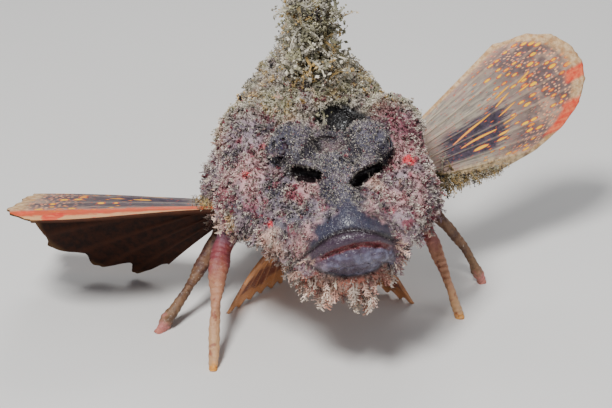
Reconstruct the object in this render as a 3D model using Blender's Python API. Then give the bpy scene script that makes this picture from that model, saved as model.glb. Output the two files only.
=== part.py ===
"""Spiny devilfish, life size, standing on the free rays of its pectoral fins with both fans spread.

Metres, +Z up. The fish looks along -Y, so its left side is +X. While it is being modelled the snout is at
y = 0, the floor at z = 0 and the fish's middle plane at x = 0. At the end the whole fish hangs on one empty
that brings the middle of its base to the origin.
"""

import math
import random

import bpy
import numpy as np
from mathutils import Matrix, Vector
from mathutils.bvhtree import BVHTree

MM = 0.001
GAP = 0.35 * MM          # free space between neighbouring pieces
SINK = 2.0 * MM          # how deep a tassel or wart is rooted
SEED = 11

# Body outline in millimetres: distance behind the snout, half width, top, bottom, squareness, taper of the belly.
BODY_STATIONS = (
    (0.0, 6.0, 52.0, 40.5, 2.0, 0.10),
    (4.0, 10.0, 54.0, 34.5, 2.1, 0.20),
    (11.0, 14.5, 55.5, 29.5, 2.3, 0.30),
    (22.0, 21.0, 57.5, 26.0, 2.4, 0.38),
    (34.0, 25.5, 61.0, 23.5, 2.5, 0.40),
    (46.0, 28.0, 65.0, 21.5, 2.6, 0.38),
    (58.0, 27.5, 68.5, 20.0, 2.5, 0.32),
    (70.0, 25.0, 71.0, 19.0, 2.4, 0.28),
    (86.0, 20.5, 70.5, 18.5, 2.2, 0.25),
    (106.0, 15.0, 63.0, 16.0, 2.1, 0.20),
    (126.0, 10.5, 50.0, 13.0, 2.0, 0.15),
    (146.0, 7.0, 36.5, 10.5, 2.0, 0.10),
    (164.0, 4.2, 27.0, 9.5, 2.0, 0.0),
    (177.0, 3.0, 24.5, 9.0, 2.0, 0.0),
)
RING_POINTS = 48
RING_STEP = 1.5 * MM
VOXEL = 0.8 * MM
BODY_TRIANGLES = 4000
HEAD_TRIANGLES = 6000
JAW_TRIANGLES = 1000
TRUNK_TRIANGLES = 1500
TAIL_TRIANGLES = 800
SPINE_TRIANGLES = 75     # for each spine of the back with its web and rags

HEAD_END = 67.0 * MM     # the gill opening, where head and trunk part
TAIL_START = 122.0 * MM  # where trunk and tail part
JAW_HINGE = (14.0 * MM, 35.8 * MM)   # y and z of the corner of the mouth
JAW_THROAT = (31.0 * MM, 14.0 * MM)  # y and z where the jaw's rear edge leaves the throat
GAPE_FRONT = (-8.0 * MM, 51.8 * MM)  # y and z of the slit's plane ahead of the snout
JAW_HALF_WIDTH = (12.6 * MM, 9.5 * MM)  # at the lips and at the throat
MOUTH_ROLL = math.radians(8)         # the mouth is held askew, its left corner up
MOUTH_OPEN = 1.8 * MM    # how far the lips stand apart in front
LIP_RADIUS = 2.6 * MM
SNOUT_TURN = (4.6 * MM, 60.0 * MM)      # how far the snout is turned to the left, and where the bend begins

EYE_RADIUS = 2.9 * MM
EYE_PLACE = Vector((13.9, 29.0, 63.5)) * MM   # left eye, before the snout is turned; the right one is its mirror
EYE_AXIS = Vector((0.88, -0.34, 0.32)).normalized()

LIMB_ROOTS = tuple(Vector(p) for p in (
    (29, 60, 42), (29, 58, 34), (29, 55, 30), (28, 62, 28), (29, 50, 28), (31, 46, 23), (33, 38, 18),
    (29, 51, 34.5), (31, 57, 35), (27, 65, 48), (34, 54, 20),
))
LIMB_ROOM = 2.5 * MM     # free space kept round the roots of fans and free rays
PECTORAL_RAYS = 10
SPINE_COUNT = 14         # spines behind the first three, which share a web of their own
FLOOR_SINK = 0.6 * MM    # how far a foot is modelled below the floor before it is cut flat

SKIN = ("skin", (0.36, 0.27, 0.25), 0.85)
LIP = ("lip", (0.33, 0.29, 0.35), 0.6)
EYE = ("eye", (0.10, 0.08, 0.12), 0.2)
FIN = ("fin", (0.40, 0.30, 0.22), 0.6)
LIMB = ("limb", (0.55, 0.33, 0.22), 0.7)


def clear_scene():
    for obj in list(bpy.data.objects):
        bpy.data.objects.remove(obj)


def material(recipe):
    name, colour, roughness = recipe
    found = bpy.data.materials.get(name)
    if found:
        return found
    made = bpy.data.materials.new(name)
    made.use_nodes = True
    shader = made.node_tree.nodes["Principled BSDF"]
    shader.inputs["Base Color"].default_value = (*colour, 1.0)
    shader.inputs["Roughness"].default_value = roughness
    shader.inputs["Metallic"].default_value = 0.0
    return made


def mesh_object(name, points, faces):
    mesh = bpy.data.meshes.new(name)
    mesh.from_pydata([tuple(p) for p in points], [], faces)
    mesh.validate()
    obj = bpy.data.objects.new(name, mesh)
    bpy.context.scene.collection.objects.link(obj)
    return obj


def apply_modifiers(obj):
    bpy.context.view_layer.update()
    graph = bpy.context.evaluated_depsgraph_get()
    made = bpy.data.meshes.new_from_object(obj.evaluated_get(graph))
    obj.modifiers.clear()
    obj.data = made
    return obj


def boolean(obj, other, operation, solver="EXACT"):
    """Joins other to obj or cuts obj by it, applies the result and removes other."""
    modifier = obj.modifiers.new(operation.title(), "BOOLEAN")
    modifier.operation = operation
    modifier.solver = solver
    modifier.object = other
    apply_modifiers(obj)
    bpy.data.objects.remove(other)
    return obj


def fuse(obj, pieces, solver="MANIFOLD"):
    """One union of obj with many closed pieces, which are removed afterwards."""
    if not pieces:
        return obj
    group = bpy.data.collections.new("pieces")
    for piece in pieces:
        for holder in list(piece.users_collection):
            holder.objects.unlink(piece)
        group.objects.link(piece)
    bpy.context.scene.collection.children.link(group)
    modifier = obj.modifiers.new("Union", "BOOLEAN")
    modifier.operation = "UNION"
    modifier.solver = solver
    modifier.operand_type = "COLLECTION"
    modifier.collection = group
    apply_modifiers(obj)
    for piece in pieces:
        bpy.data.objects.remove(piece)
    bpy.data.collections.remove(group)
    return obj


def keep_largest(obj):
    """Keeps only the closed surface with the most volume."""
    mesh = obj.data
    mesh.calc_loop_triangles()
    parent = list(range(len(mesh.vertices)))

    def root(i):
        while parent[i] != i:
            parent[i] = parent[parent[i]]
            i = parent[i]
        return i

    for edge in mesh.edges:
        a, b = root(edge.vertices[0]), root(edge.vertices[1])
        parent[a] = b
    volumes = {}
    for triangle in mesh.loop_triangles:
        a, b, c = (mesh.vertices[i].co for i in triangle.vertices)
        island = root(triangle.vertices[0])
        volumes[island] = volumes.get(island, 0.0) + a.dot(b.cross(c)) / 6
    best = max(volumes, key=lambda island: abs(volumes[island]))
    kept = [v.index for v in mesh.vertices if root(v.index) == best]
    place = {old: new for new, old in enumerate(kept)}
    points = [mesh.vertices[i].co.copy() for i in kept]
    faces = [[place[i] for i in t.vertices] for t in mesh.loop_triangles if t.vertices[0] in place]
    made = bpy.data.meshes.new(obj.name)
    made.from_pydata(points, [], faces)
    obj.data = made
    return obj


def finish(obj, recipe):
    keep_largest(obj)
    obj.data.materials.clear()
    obj.data.materials.append(material(recipe))
    obj.data.shade_smooth()
    obj.data.set_sharp_from_angle(angle=math.radians(50))
    return obj


def ball(name, centre, radii, tilt=(0.0, 0.0, 0.0), detail=3):
    """Ellipsoid with its half axes in millimetres; tilt is in degrees."""
    bpy.ops.mesh.primitive_ico_sphere_add(subdivisions=detail, radius=1.0)
    obj = bpy.context.object
    obj.name = name
    turn = Matrix.Rotation(math.radians(tilt[2]), 4, "Z")
    turn @= Matrix.Rotation(math.radians(tilt[1]), 4, "Y")
    turn @= Matrix.Rotation(math.radians(tilt[0]), 4, "X")
    size = Matrix.Diagonal((*(r * MM for r in radii), 1.0))
    obj.data.transform(Matrix.Translation(Vector(centre) * MM) @ turn @ size)
    return obj


def both_sides(name, centre, radii, tilt=(0.0, 0.0, 0.0), detail=3):
    """The same ellipsoid on the fish's left and right."""
    x, y, z = centre
    left = ball(name + "_left", (x, y, z), radii, tilt, detail)
    right = ball(name + "_right", (-x, y, z), radii, (tilt[0], -tilt[1], -tilt[2]), detail)
    return [left, right]


def tube(name, points, radii, sides=8):
    """Closed round tube through the points, with a radius at each of them."""
    count = len(points)
    ring_points, faces = [], []
    for i, point in enumerate(points):
        ahead = points[min(i + 1, count - 1)] - points[max(i - 1, 0)]
        across = ahead.cross(Vector((0, 0, 1)))
        if across.length < 1e-9:
            across = Vector((1, 0, 0))
        across.normalize()
        over = across.cross(ahead.normalized())
        for j in range(sides):
            angle = 2 * math.pi * j / sides
            ring_points.append(point + (across * math.cos(angle) + over * math.sin(angle)) * radii[i])
    for i in range(count - 1):
        for j in range(sides):
            a, b = i * sides + j, i * sides + (j + 1) % sides
            faces += [(a, b, b + sides), (a, b + sides, a + sides)]
    start, end = len(ring_points), len(ring_points) + 1
    ring_points += [points[0], points[-1]]
    last = (count - 1) * sides
    for j in range(sides):
        k = (j + 1) % sides
        faces += [(start, k, j), (end, last + j, last + k)]
    obj = mesh_object(name, ring_points, faces)
    return outward(obj)


def outward(obj):
    """Turns a closed mesh inside out if its faces point inwards."""
    mesh = obj.data
    mesh.calc_loop_triangles()
    volume = 0.0
    for triangle in mesh.loop_triangles:
        a, b, c = (mesh.vertices[i].co for i in triangle.vertices)
        volume += a.dot(b.cross(c))
    if volume < 0:
        mesh.flip_normals()
    return obj


def smooth_lookup(table, y):
    """Cubic reading of a station table, without overshoot beyond its ends."""
    ys = [row[0] for row in table]
    y = min(max(y, ys[0]), ys[-1])
    i = max(k for k in range(len(ys) - 1) if ys[k] <= y)
    span = ys[i + 1] - ys[i]
    t = (y - ys[i]) / span
    values = []
    for column in range(1, len(table[0])):
        before = table[max(i - 1, 0)][column]
        start, end = table[i][column], table[i + 1][column]
        after = table[min(i + 2, len(ys) - 1)][column]
        slope_start = (end - before) / (ys[i + 1] - ys[max(i - 1, 0)]) * span
        slope_end = (after - start) / (ys[min(i + 2, len(ys) - 1)] - ys[i]) * span
        values.append(
            start * (2 * t**3 - 3 * t**2 + 1)
            + slope_start * (t**3 - 2 * t**2 + t)
            + end * (3 * t**2 - 2 * t**3)
            + slope_end * (t**3 - t**2)
        )
    return values


def body_section(y):
    """Half width, top and bottom of the plain body at a distance behind the snout, in metres."""
    half, top, bottom, _, _ = smooth_lookup(BODY_STATIONS, y / MM)
    return half * MM, top * MM, bottom * MM


def plain_body():
    """The lofted hull of head, trunk and tail before the features are added."""
    length = BODY_STATIONS[-1][0] * MM
    rings = int(length / RING_STEP) + 1
    points, faces = [], []
    for i in range(rings):
        y = length * i / (rings - 1)
        half, top, bottom = body_section(y)
        _, _, _, power, taper = smooth_lookup(BODY_STATIONS, y / MM)
        middle, rise = (top + bottom) / 2, (top - bottom) / 2
        for j in range(RING_POINTS):
            angle = 2 * math.pi * j / RING_POINTS
            c, s = math.cos(angle), math.sin(angle)
            x = half * math.copysign(abs(c) ** (2 / power), c) * (1 - taper * max(-s, 0.0))
            z = middle + rise * math.copysign(abs(s) ** (2 / power), s)
            points.append((x, y, z))
    for i in range(rings - 1):
        for j in range(RING_POINTS):
            a, b = i * RING_POINTS + j, i * RING_POINTS + (j + 1) % RING_POINTS
            faces.append((a, b, b + RING_POINTS, a + RING_POINTS))
    faces.append(list(range(RING_POINTS))[::-1])
    faces.append(list(range((rings - 1) * RING_POINTS, rings * RING_POINTS)))
    return outward(mesh_object("whole_body", points, faces))


def swellings():
    """What stands proud of the plain body: eye knobs, ridges, cheeks, nape and fin bases."""
    made = both_sides("eye_knob", (10.2, 31.5, 62.5), (6.3, 6.4, 7.4))
    made += both_sides("brow_arm", (8.4, 21.5, 60.6), (2.7, 10.5, 2.6), (13, 0, -42))
    made += both_sides("upper_cheek", (20.5, 48.0, 57.0), (9.0, 14.0, 11.0), (0, 12, 0))
    made += both_sides("cheek", (21.5, 38.0, 47.0), (9.5, 18.0, 13.5), (0, -14, 8))
    made += both_sides("mouth_cheek", (14.5, 23.5, 44.5), (7.8, 13.5, 9.0), (0, -10, 18))
    made += both_sides("gill_cover", (23.0, 55.0, 41.0), (8.0, 13.0, 16.0))
    made += both_sides("pectoral_base", (26.0, 62.0, 35.0), (8.0, 8.0, 15.5), (-12, 0, 0))
    made.append(ball("nose_ridge", (0, 13.0, 56.3), (3.0, 10.5, 3.2), (14, 0, 0)))
    made.append(ball("nose_bridge", (0, 21.5, 58.8), (5.6, 9.5, 3.6), (17, 0, 0)))
    made.append(ball("nose_knob", (0, 4.6, 52.4), (5.6, 4.6, 3.0), (24, 0, 0)))
    made.append(ball("eye_bridge", (0, 37.0, 59.8), (9.0, 2.6, 5.0)))
    made.append(ball("nape", (0, 63.0, 66.0), (12.0, 14.0, 8.0)))
    made.append(ball("chin", (0, 11.0, 36.0), (11.0, 9.0, 9.5), (20, 0, 0)))
    return made


def hollows():
    """What is sunk into the head: the pits before the eyes, the dip between them and the one behind."""
    made = both_sides("face_pit", (9.8, 19.8, 58.2), (7.2, 6.0, 2.7), (-12, -19, 24))
    made.append(ball("between_eyes", (0.3, 31.4, 64.0), (4.2, 4.2, 4.6)))
    made.append(ball("behind_eyes", (2.4, 44.0, 67.6), (6.6, 5.4, 7.6)))
    return made


def soften(obj, voxel, times):
    """Makes overlapping shapes one skin and rounds its creases."""
    remesh = obj.modifiers.new("Remesh", "REMESH")
    remesh.mode = "VOXEL"
    remesh.voxel_size = voxel
    smooth = obj.modifiers.new("Smooth", "SMOOTH")
    smooth.factor = 0.5
    smooth.iterations = times
    return apply_modifiers(obj)


def join_meshes(obj, others):
    """Puts the others' faces into obj's mesh without joining their volumes."""
    points = [v.co.copy() for v in obj.data.vertices]
    faces = [list(p.vertices) for p in obj.data.polygons]
    for other in others:
        start = len(points)
        points += [v.co.copy() for v in other.data.vertices]
        faces += [[start + i for i in p.vertices] for p in other.data.polygons]
        bpy.data.objects.remove(other)
    made = bpy.data.meshes.new(obj.name)
    made.from_pydata(points, [], faces)
    obj.data = made
    return obj


def slit_height(y, x=0.0):
    """Height of the plane of the mouth's slit at a distance behind the snout."""
    (y0, z0), (y1, z1) = GAPE_FRONT, JAW_HINGE
    return z0 + (z1 - z0) * (y - y0) / (y1 - y0) + x * math.tan(MOUTH_ROLL)


def mouth_line(body, angles):
    """Points where the plane of the slit meets the outside of the snout, from the right corner to the left."""
    tree = BVHTree.FromPolygons([v.co for v in body.data.vertices], [p.vertices for p in body.data.polygons])
    heart_y = JAW_HINGE[0] + 1.5 * MM
    heart = Vector((0, heart_y, slit_height(heart_y)))
    slope = (JAW_HINGE[1] - GAPE_FRONT[1]) / (JAW_HINGE[0] - GAPE_FRONT[0])
    found = []
    for angle in angles:
        across, ahead = math.sin(angle), -math.cos(angle)
        ray = Vector((across, ahead, ahead * slope + across * math.tan(MOUTH_ROLL))).normalized()
        outside = heart + ray * 60 * MM
        hit = tree.ray_cast(outside, -ray)[0]
        found.append(hit)
    return found


def lips(body):
    """An upper and a lower roll along the mouth, thinner towards its corners."""
    steps = 17
    half_turn = math.radians(86)
    angles = [half_turn * (2 * i / (steps - 1) - 1) for i in range(steps)]
    line = mouth_line(body, angles)
    made = []
    for name, side in (("upper_lip", 1), ("lower_lip", -1)):
        points, radii = [], []
        for angle, point in zip(angles, line):
            fullness = math.cos(angle * 0.8)
            radius = LIP_RADIUS * (0.55 + 0.45 * fullness)
            outward_way = Vector((math.sin(angle), -math.cos(angle), 0))
            points.append(point + outward_way * radius * 0.15 + Vector((0, 0, side * radius * 1.05)))
            radii.append(radius)
        made.append(tube(name, points, radii, sides=10))
    return made


def reduce(obj, triangles):
    """Collapses a remeshed skin to about so many triangles."""
    obj.data.calc_loop_triangles()
    decimate = obj.modifiers.new("Decimate", "DECIMATE")
    decimate.ratio = triangles / len(obj.data.loop_triangles)
    decimate.use_collapse_triangulate = True
    decimate.use_symmetry = False
    return apply_modifiers(obj)


def snout_shift(y):
    """How far the face's middle lies to the fish's left at a distance behind the snout."""
    shift, start = SNOUT_TURN
    return shift * (max(start - y, 0.0) / start) ** 2


def eye_centre(side):
    """Middle of an eye, moved aside with the turned snout."""
    return Vector((EYE_PLACE.x * side + snout_shift(EYE_PLACE.y), EYE_PLACE.y, EYE_PLACE.z))


def turn_snout(obj):
    for vertex in obj.data.vertices:
        vertex.co.x += snout_shift(vertex.co.y)


def whole_body():
    """Head, trunk and tail as one skin, with every hollow but the mouth's slit and the eye sockets."""
    body = join_meshes(plain_body(), swellings())
    soften(body, VOXEL, 14)
    join_meshes(body, lips(body))
    soften(body, VOXEL, 2)
    for hollow in hollows():
        boolean(body, hollow, "DIFFERENCE")
    soften(body, VOXEL, 3)
    keep_largest(body)
    turn_snout(body)
    return reduce(body, BODY_TRIANGLES)


def copy_of(obj, name):
    made = obj.copy()
    made.data = obj.data.copy()
    made.name = name
    bpy.context.scene.collection.objects.link(made)
    return made


def inflated(obj, name, by):
    """A copy whose surface stands out by a distance, for cutting the roots of what grows from obj."""
    made = copy_of(obj, name)
    displace = made.modifiers.new("Displace", "DISPLACE")
    displace.strength = by
    displace.mid_level = 0.0
    apply_modifiers(made)
    made.hide_render = True
    made.display_type = "WIRE"
    return made


def block(name, low, high):
    bpy.ops.mesh.primitive_cube_add(size=1.0)
    obj = bpy.context.object
    obj.name = name
    low, high = Vector(low), Vector(high)
    size = Matrix.Diagonal((*(high - low), 1.0))
    obj.data.transform(Matrix.Translation((low + high) / 2) @ size)
    return obj


def jaw_wedge(name, inside):
    """Prism that holds the lower jaw. inside is how far its faces are drawn in from the cut between jaw and head."""
    (front_y, front_z), (hinge_y, hinge_z), (throat_y, throat_z) = GAPE_FRONT, JAW_HINGE, JAW_THROAT
    wide, narrow = (half - inside for half in JAW_HALF_WIDTH)
    taper = (wide - narrow) / (hinge_z - throat_z)
    roll = math.tan(MOUTH_ROLL)
    shift = snout_shift(hinge_y)
    shift_slope = (snout_shift(0.0) - shift) / hinge_y
    outline = (
        (front_y, front_z - inside - (MOUTH_OPEN if inside > 0 else 0)),
        (hinge_y - inside, hinge_z - inside),
        (throat_y - inside, throat_z),
        (throat_y - inside, -throat_z),
        (front_y, -throat_z),
    )
    points = []
    for side in (-1, 1):
        for y, z in outline:
            across = side * (narrow + taper * (z - throat_z)) / (1 - side * taper * roll)
            points.append((shift + shift_slope * (hinge_y - y) + across, y, z + across * roll))
    count = len(outline)
    faces = [(0, i, i + 1) for i in range(1, count - 1)]
    faces += [(count, count + i + 1, count + i) for i in range(1, count - 1)]
    for i in range(count):
        k = (i + 1) % count
        faces += [(i, i + count, k + count), (i, k + count, k)]
    return outward(mesh_object(name, points, faces))


def surface(obj):
    return BVHTree.FromPolygons([v.co for v in obj.data.vertices], [p.vertices for p in obj.data.polygons])


def strap(name, points, widths, thicknesses, flat):
    """Closed three-sided blade through the points, which ends in a point; flat is the direction its width takes."""
    rings, faces = [], []
    for i, point in enumerate(points[:-1]):
        ahead = (points[i + 1] - point).normalized()
        across = (flat - ahead * flat.dot(ahead)).normalized()
        over = ahead.cross(across)
        for a, b in ((0.5, -0.35), (0.0, 0.65), (-0.5, -0.35)):
            rings.append(point + across * (a * widths[i]) + over * (b * thicknesses[i]))
    count = len(points) - 1
    for i in range(count - 1):
        for j in range(3):
            a, b = i * 3 + j, i * 3 + (j + 1) % 3
            faces += [(a, b, b + 3), (a, b + 3, a + 3)]
    tip, last = len(rings), (count - 1) * 3
    rings.append(points[-1])
    faces += [(last + j, last + (j + 1) % 3, tip) for j in range(3)]
    faces.append((0, 2, 1))
    return outward(mesh_object(name, rings, faces))


def side_of(direction):
    """A direction square to the given one."""
    across = direction.cross(Vector((0.3, 0.2, 1.0)))
    return across.normalized()


def tassel(name, root, way, length, leaflets, draw, droop=0.5):
    """A branched skin flap: one bent blade with small blades to either side. It returns closed pieces."""
    way = way.normalized()
    flat = side_of(way)
    flat = (Matrix.Rotation(draw.uniform(-0.6, 0.6), 3, way) @ flat).normalized()
    sag = Vector((0, 0, -1)) * length * droop
    start = root - way * SINK
    middle = root + way * length * 0.5 + sag * 0.25
    end = root + way * length + sag
    stem_width = length * 0.22 + 0.6 * MM
    points = [start, root, middle, end]
    pieces = [strap(name, points, [stem_width, stem_width, stem_width * 0.7], [1.3 * MM, 1.2 * MM, 0.8 * MM], flat)]
    for i in range(leaflets):
        t = 0.22 + 0.62 * i / max(leaflets - 1, 1)
        side = 1 if i % 2 else -1
        base = root.lerp(middle, t * 2) if t < 0.5 else middle.lerp(end, t * 2 - 1)
        leaf_way = (way * 0.75 + flat * side * draw.uniform(0.8, 1.1) + Vector((0, 0, -0.15 * droop))).normalized()
        reach = length * draw.uniform(0.32, 0.46) * (1.15 - 0.5 * t)
        pieces.append(
            strap(
                f"{name}_leaf{i}",
                [base - leaf_way * 0.5 * MM, base + leaf_way * reach * 0.55, base + leaf_way * reach],
                [1.0 * MM, 1.3 * MM],
                [0.75 * MM, 0.7 * MM],
                way,
            )
        )
    return pieces


def wart(name, root, way, height, radius, draw):
    """A small cone of four sides, rooted in the skin."""
    way = (way.normalized() + Vector([draw.uniform(-0.25, 0.25) for _ in range(3)])).normalized()
    across = side_of(way)
    over = way.cross(across)
    sides = 4
    points = []
    for j in range(sides):
        angle = 2 * math.pi * j / sides
        points.append(root - way * SINK * 0.5 + (across * math.cos(angle) + over * math.sin(angle)) * radius * 1.3)
    points.append(root + way * height)
    faces = [(j, (j + 1) % sides, sides) for j in range(sides)]
    faces += [(0, j + 1, j) for j in range(1, sides - 1)]
    return outward(mesh_object(name, points, faces))


def on_surface(tree, start, way):
    """Where a ray from outside first meets the body, and the outward direction there."""
    hit, normal, _, _ = tree.ray_cast(Vector(start), Vector(way).normalized())
    return (hit, normal) if hit is not None else (None, None)


def around(tree, y, angle):
    """The body's surface at a distance behind the snout; angle 0 is the fish's left, 90 degrees its back."""
    _, top, bottom = body_section(y)
    heart = Vector((0, y, (top + bottom) / 2))
    ray = Vector((math.cos(angle), 0, math.sin(angle)))
    return on_surface(tree, heart + ray * 60 * MM, -ray)


def clear_of_limbs(point, reach):
    """Whether a tassel rooted at the point stays off the roots of the fans and the free rays."""
    folded = Vector((abs(point.x), point.y, point.z))
    return all((folded - place * MM).length > reach + LIMB_ROOM for place in LIMB_ROOTS)


def head_tassels(tree, draw):
    """Fringe along cheeks and gill covers: y behind the snout, angle from the side, length, leaflets."""
    places = (
        (17, -24, 6.5, 4), (20, -44, 7.5, 4), (27, -34, 8.0, 5), (33, -50, 8.0, 4), (36, -27, 7.5, 4), (31, -14, 6.0, 4),
        (42, -42, 7.0, 4), (39, -4, 6.5, 4), (45, 12, 6.5, 4), (41, 27, 5.5, 4), (51, 36, 6.0, 4), (28, 12, 4.5, 3),
        (60, 58, 5.0, 3), (45, -16, 5.5, 4),
    )
    pieces = []
    for i, (y, degrees, length, leaflets) in enumerate(places):
        for side in (1, -1):
            turned = math.radians(degrees) if side > 0 else math.pi - math.radians(degrees)
            hit, normal = around(tree, (y + draw.uniform(-1, 1)) * MM, turned + draw.uniform(-0.05, 0.05))
            way = (normal + Vector((0, -0.25, -0.1))).normalized()
            size = length * MM * draw.uniform(0.85, 1.15)
            if not clear_of_limbs(hit, size):
                continue
            pieces += tassel(f"cheek_tassel{i}{side}", hit, way, size, leaflets, draw, 0.3)
    return pieces


def head_warts(tree, draw, count):
    """Small blunt warts over the cheeks and gill covers, clear of the face's smooth middle."""
    pieces = []
    while len(pieces) < count:
        y = draw.uniform(14, 60)
        degrees = draw.uniform(-50, 60) if y > 40 else draw.uniform(-35, 35)
        turned = math.radians(degrees)
        if draw.random() < 0.5:
            turned = math.pi - turned
        hit, normal = around(tree, y * MM, turned)
        if hit is None or hit.z < slit_height(hit.y, hit.x) + 3 * MM and hit.y < JAW_THROAT[0] + 4 * MM:
            continue
        if hit.y > HEAD_END - 5 * MM or min((hit - eye_centre(side)).length for side in (1, -1)) < 7 * MM:
            continue
        if not clear_of_limbs(hit, 4.0 * MM):
            continue
        height, radius = draw.uniform(1.4, 2.6) * MM, draw.uniform(0.9, 1.5) * MM
        pieces.append(wart(f"wart{len(pieces)}", hit, normal, height, radius, draw))
    return pieces


def jaw_tassels(tree, draw):
    """The beard: branched flaps round the chin, the longest at the corners of the mouth."""
    places = ((48, -8, 9.0, 5), (24, -24, 7.0, 4), (2, -34, 5.5, 4), (-22, -28, 8.0, 5), (-46, -14, 9.0, 5))
    pieces = []
    for i, (turn, pitch, length, leaflets) in enumerate(places):
        a, p = math.radians(turn), math.radians(pitch)
        ray = Vector((math.sin(a) * math.cos(p), -math.cos(a) * math.cos(p), math.sin(p)))
        heart = Vector((snout_shift(15 * MM), 15 * MM, 37 * MM))
        hit, normal = on_surface(tree, heart + ray * 60 * MM, -ray)
        way = (normal + Vector((0, -0.1, -0.9))).normalized()
        pieces += tassel(f"beard{i}", hit, way, length * MM, leaflets, draw, 0.25)
    return pieces


def eye_lids(tree):
    """A ring of skin round each eye."""
    pieces = []
    for side in (1, -1):
        centre = eye_centre(side)
        axis = Vector((EYE_AXIS.x * side, EYE_AXIS.y, EYE_AXIS.z))
        bpy.ops.mesh.primitive_torus_add(
            major_segments=14, minor_segments=5, major_radius=EYE_RADIUS * 0.93, minor_radius=1.1 * MM
        )
        lid = bpy.context.object
        turn = axis.to_track_quat("Z", "Y").to_matrix().to_4x4()
        lid.data.transform(Matrix.Translation(centre + axis * EYE_RADIUS * 0.22) @ turn)
        pieces.append(lid)
    return pieces


def eye(name, side):
    bpy.ops.mesh.primitive_uv_sphere_add(segments=16, ring_count=10, radius=EYE_RADIUS)
    obj = bpy.context.object
    obj.name = name
    axis = Vector((EYE_AXIS.x * side, EYE_AXIS.y, EYE_AXIS.z))
    turn = axis.to_track_quat("Z", "Y").to_matrix().to_4x4()
    obj.data.transform(Matrix.Translation(eye_centre(side)) @ turn)
    return finish(obj, EYE)


def socket(side):
    bpy.ops.mesh.primitive_uv_sphere_add(segments=16, ring_count=10, radius=EYE_RADIUS + GAP)
    obj = bpy.context.object
    obj.data.transform(Matrix.Translation(eye_centre(side)))
    return obj


def nostrils():
    """A small round opening to either side of the nose ridge."""
    made = both_sides("nostril", (5.4, 8.2, 54.8), (0.9, 1.0, 1.6), (0, 0, 0), 1)
    for nostril in made:
        turn_snout(nostril)
    return made


def make_head(body, tree, draw):
    head = copy_of(body, "head")
    far = 0.3
    boolean(head, block("behind_head", (-far, HEAD_END - GAP / 2, -far), (far, far, far)), "DIFFERENCE")
    fuse(head, head_tassels(tree, draw) + head_warts(tree, draw, 40) + eye_lids(tree))
    boolean(head, jaw_wedge("jaw_space", 0.0), "DIFFERENCE")
    for side in (1, -1):
        boolean(head, socket(side), "DIFFERENCE", "MANIFOLD")
    for nostril in nostrils():
        boolean(head, nostril, "DIFFERENCE", "MANIFOLD")
    reduce(keep_largest(head), HEAD_TRIANGLES)
    return finish(head, SKIN)


def make_jaw(body, tree, draw):
    jaw = copy_of(body, "lower_jaw")
    fuse(jaw, jaw_tassels(tree, draw))
    boolean(jaw, jaw_wedge("jaw_room", GAP), "INTERSECT")
    reduce(keep_largest(jaw), JAW_TRIANGLES)
    return finish(jaw, LIP)


def body_flaps(tree, draw, first, last, count, size):
    """Small skin flaps scattered over the flanks, denser along the side line."""
    pieces = []
    for i in range(count):
        y = first + (last - first) * (i + 0.5) / count
        row = (18, 52, -12, 34, 66)[i % 5]
        turned = math.radians(row + draw.uniform(-5, 5))
        for side in (1, -1):
            angle = turned if side > 0 else math.pi - turned
            hit, normal = around(tree, y, angle)
            way = (normal + Vector((0, 0.5, 0))).normalized()
            length = size * draw.uniform(0.7, 1.2)
            points = [hit - way * SINK * 0.6, hit + way * length * 0.5, hit + way * length + Vector((0, 0.3 * length, 0))]
            pieces.append(strap(f"flap{i}{side}", points, [1.5 * MM, 1.6 * MM], [1.0 * MM, 0.8 * MM], Vector((0, 1, 0.4))))
    return pieces


def make_trunk(body, tree, draw):
    trunk = copy_of(body, "trunk")
    room = block("trunk_room", (-0.3, HEAD_END + GAP / 2, -0.3), (0.3, TAIL_START - GAP / 2, 0.3))
    boolean(trunk, room, "INTERSECT")
    fuse(trunk, body_flaps(tree, draw, HEAD_END + 14 * MM, TAIL_START - 5 * MM, 13, 5.0 * MM))
    reduce(keep_largest(trunk), TRUNK_TRIANGLES)
    return finish(trunk, SKIN)


def make_tail(body, tree, draw):
    tail = copy_of(body, "tail")
    room = block("tail_room", (-0.3, TAIL_START + GAP / 2, -0.3), (0.3, 0.4, 0.3))
    boolean(tail, room, "INTERSECT")
    fuse(tail, body_flaps(tree, draw, TAIL_START + 5 * MM, 0.166, 8, 3.5 * MM))
    reduce(keep_largest(tail), TAIL_TRIANGLES)
    return finish(tail, SKIN)


def ray_sheet(name, place, columns, rows):
    """Closed fin sheet. place(k, u) gives a point and the face's direction; columns holds (k, length share, root
    thickness, tip thickness), thick at a ray and thin between rays, so that the rays stand as ridges."""
    upper, lower = [], []
    for k, share, root_thick, tip_thick in columns:
        for i in range(rows + 1):
            u = share * i / rows
            point, normal = place(k, u)
            half = (root_thick + (tip_thick - root_thick) * i / rows) / 2
            upper.append(point + normal * half)
            lower.append(point - normal * half)
    stride, wide = rows + 1, len(columns)
    under = len(upper)
    faces = []
    for c in range(wide - 1):
        for r in range(rows):
            a, b = c * stride + r, (c + 1) * stride + r
            faces += [(a, b, b + 1), (a, b + 1, a + 1)]
            faces += [(under + a, under + b + 1, under + b), (under + a, under + a + 1, under + b + 1)]
    rim = [c * stride for c in range(wide)]
    rim += [(wide - 1) * stride + r for r in range(1, rows + 1)]
    rim += [c * stride + rows for c in reversed(range(wide - 1))]
    rim += [r for r in reversed(range(1, rows))]
    for i, a in enumerate(rim):
        b = rim[(i + 1) % len(rim)]
        faces += [(a, under + b, b), (a, under + a, under + b)]
    return outward(mesh_object(name, upper + lower, faces))


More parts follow.
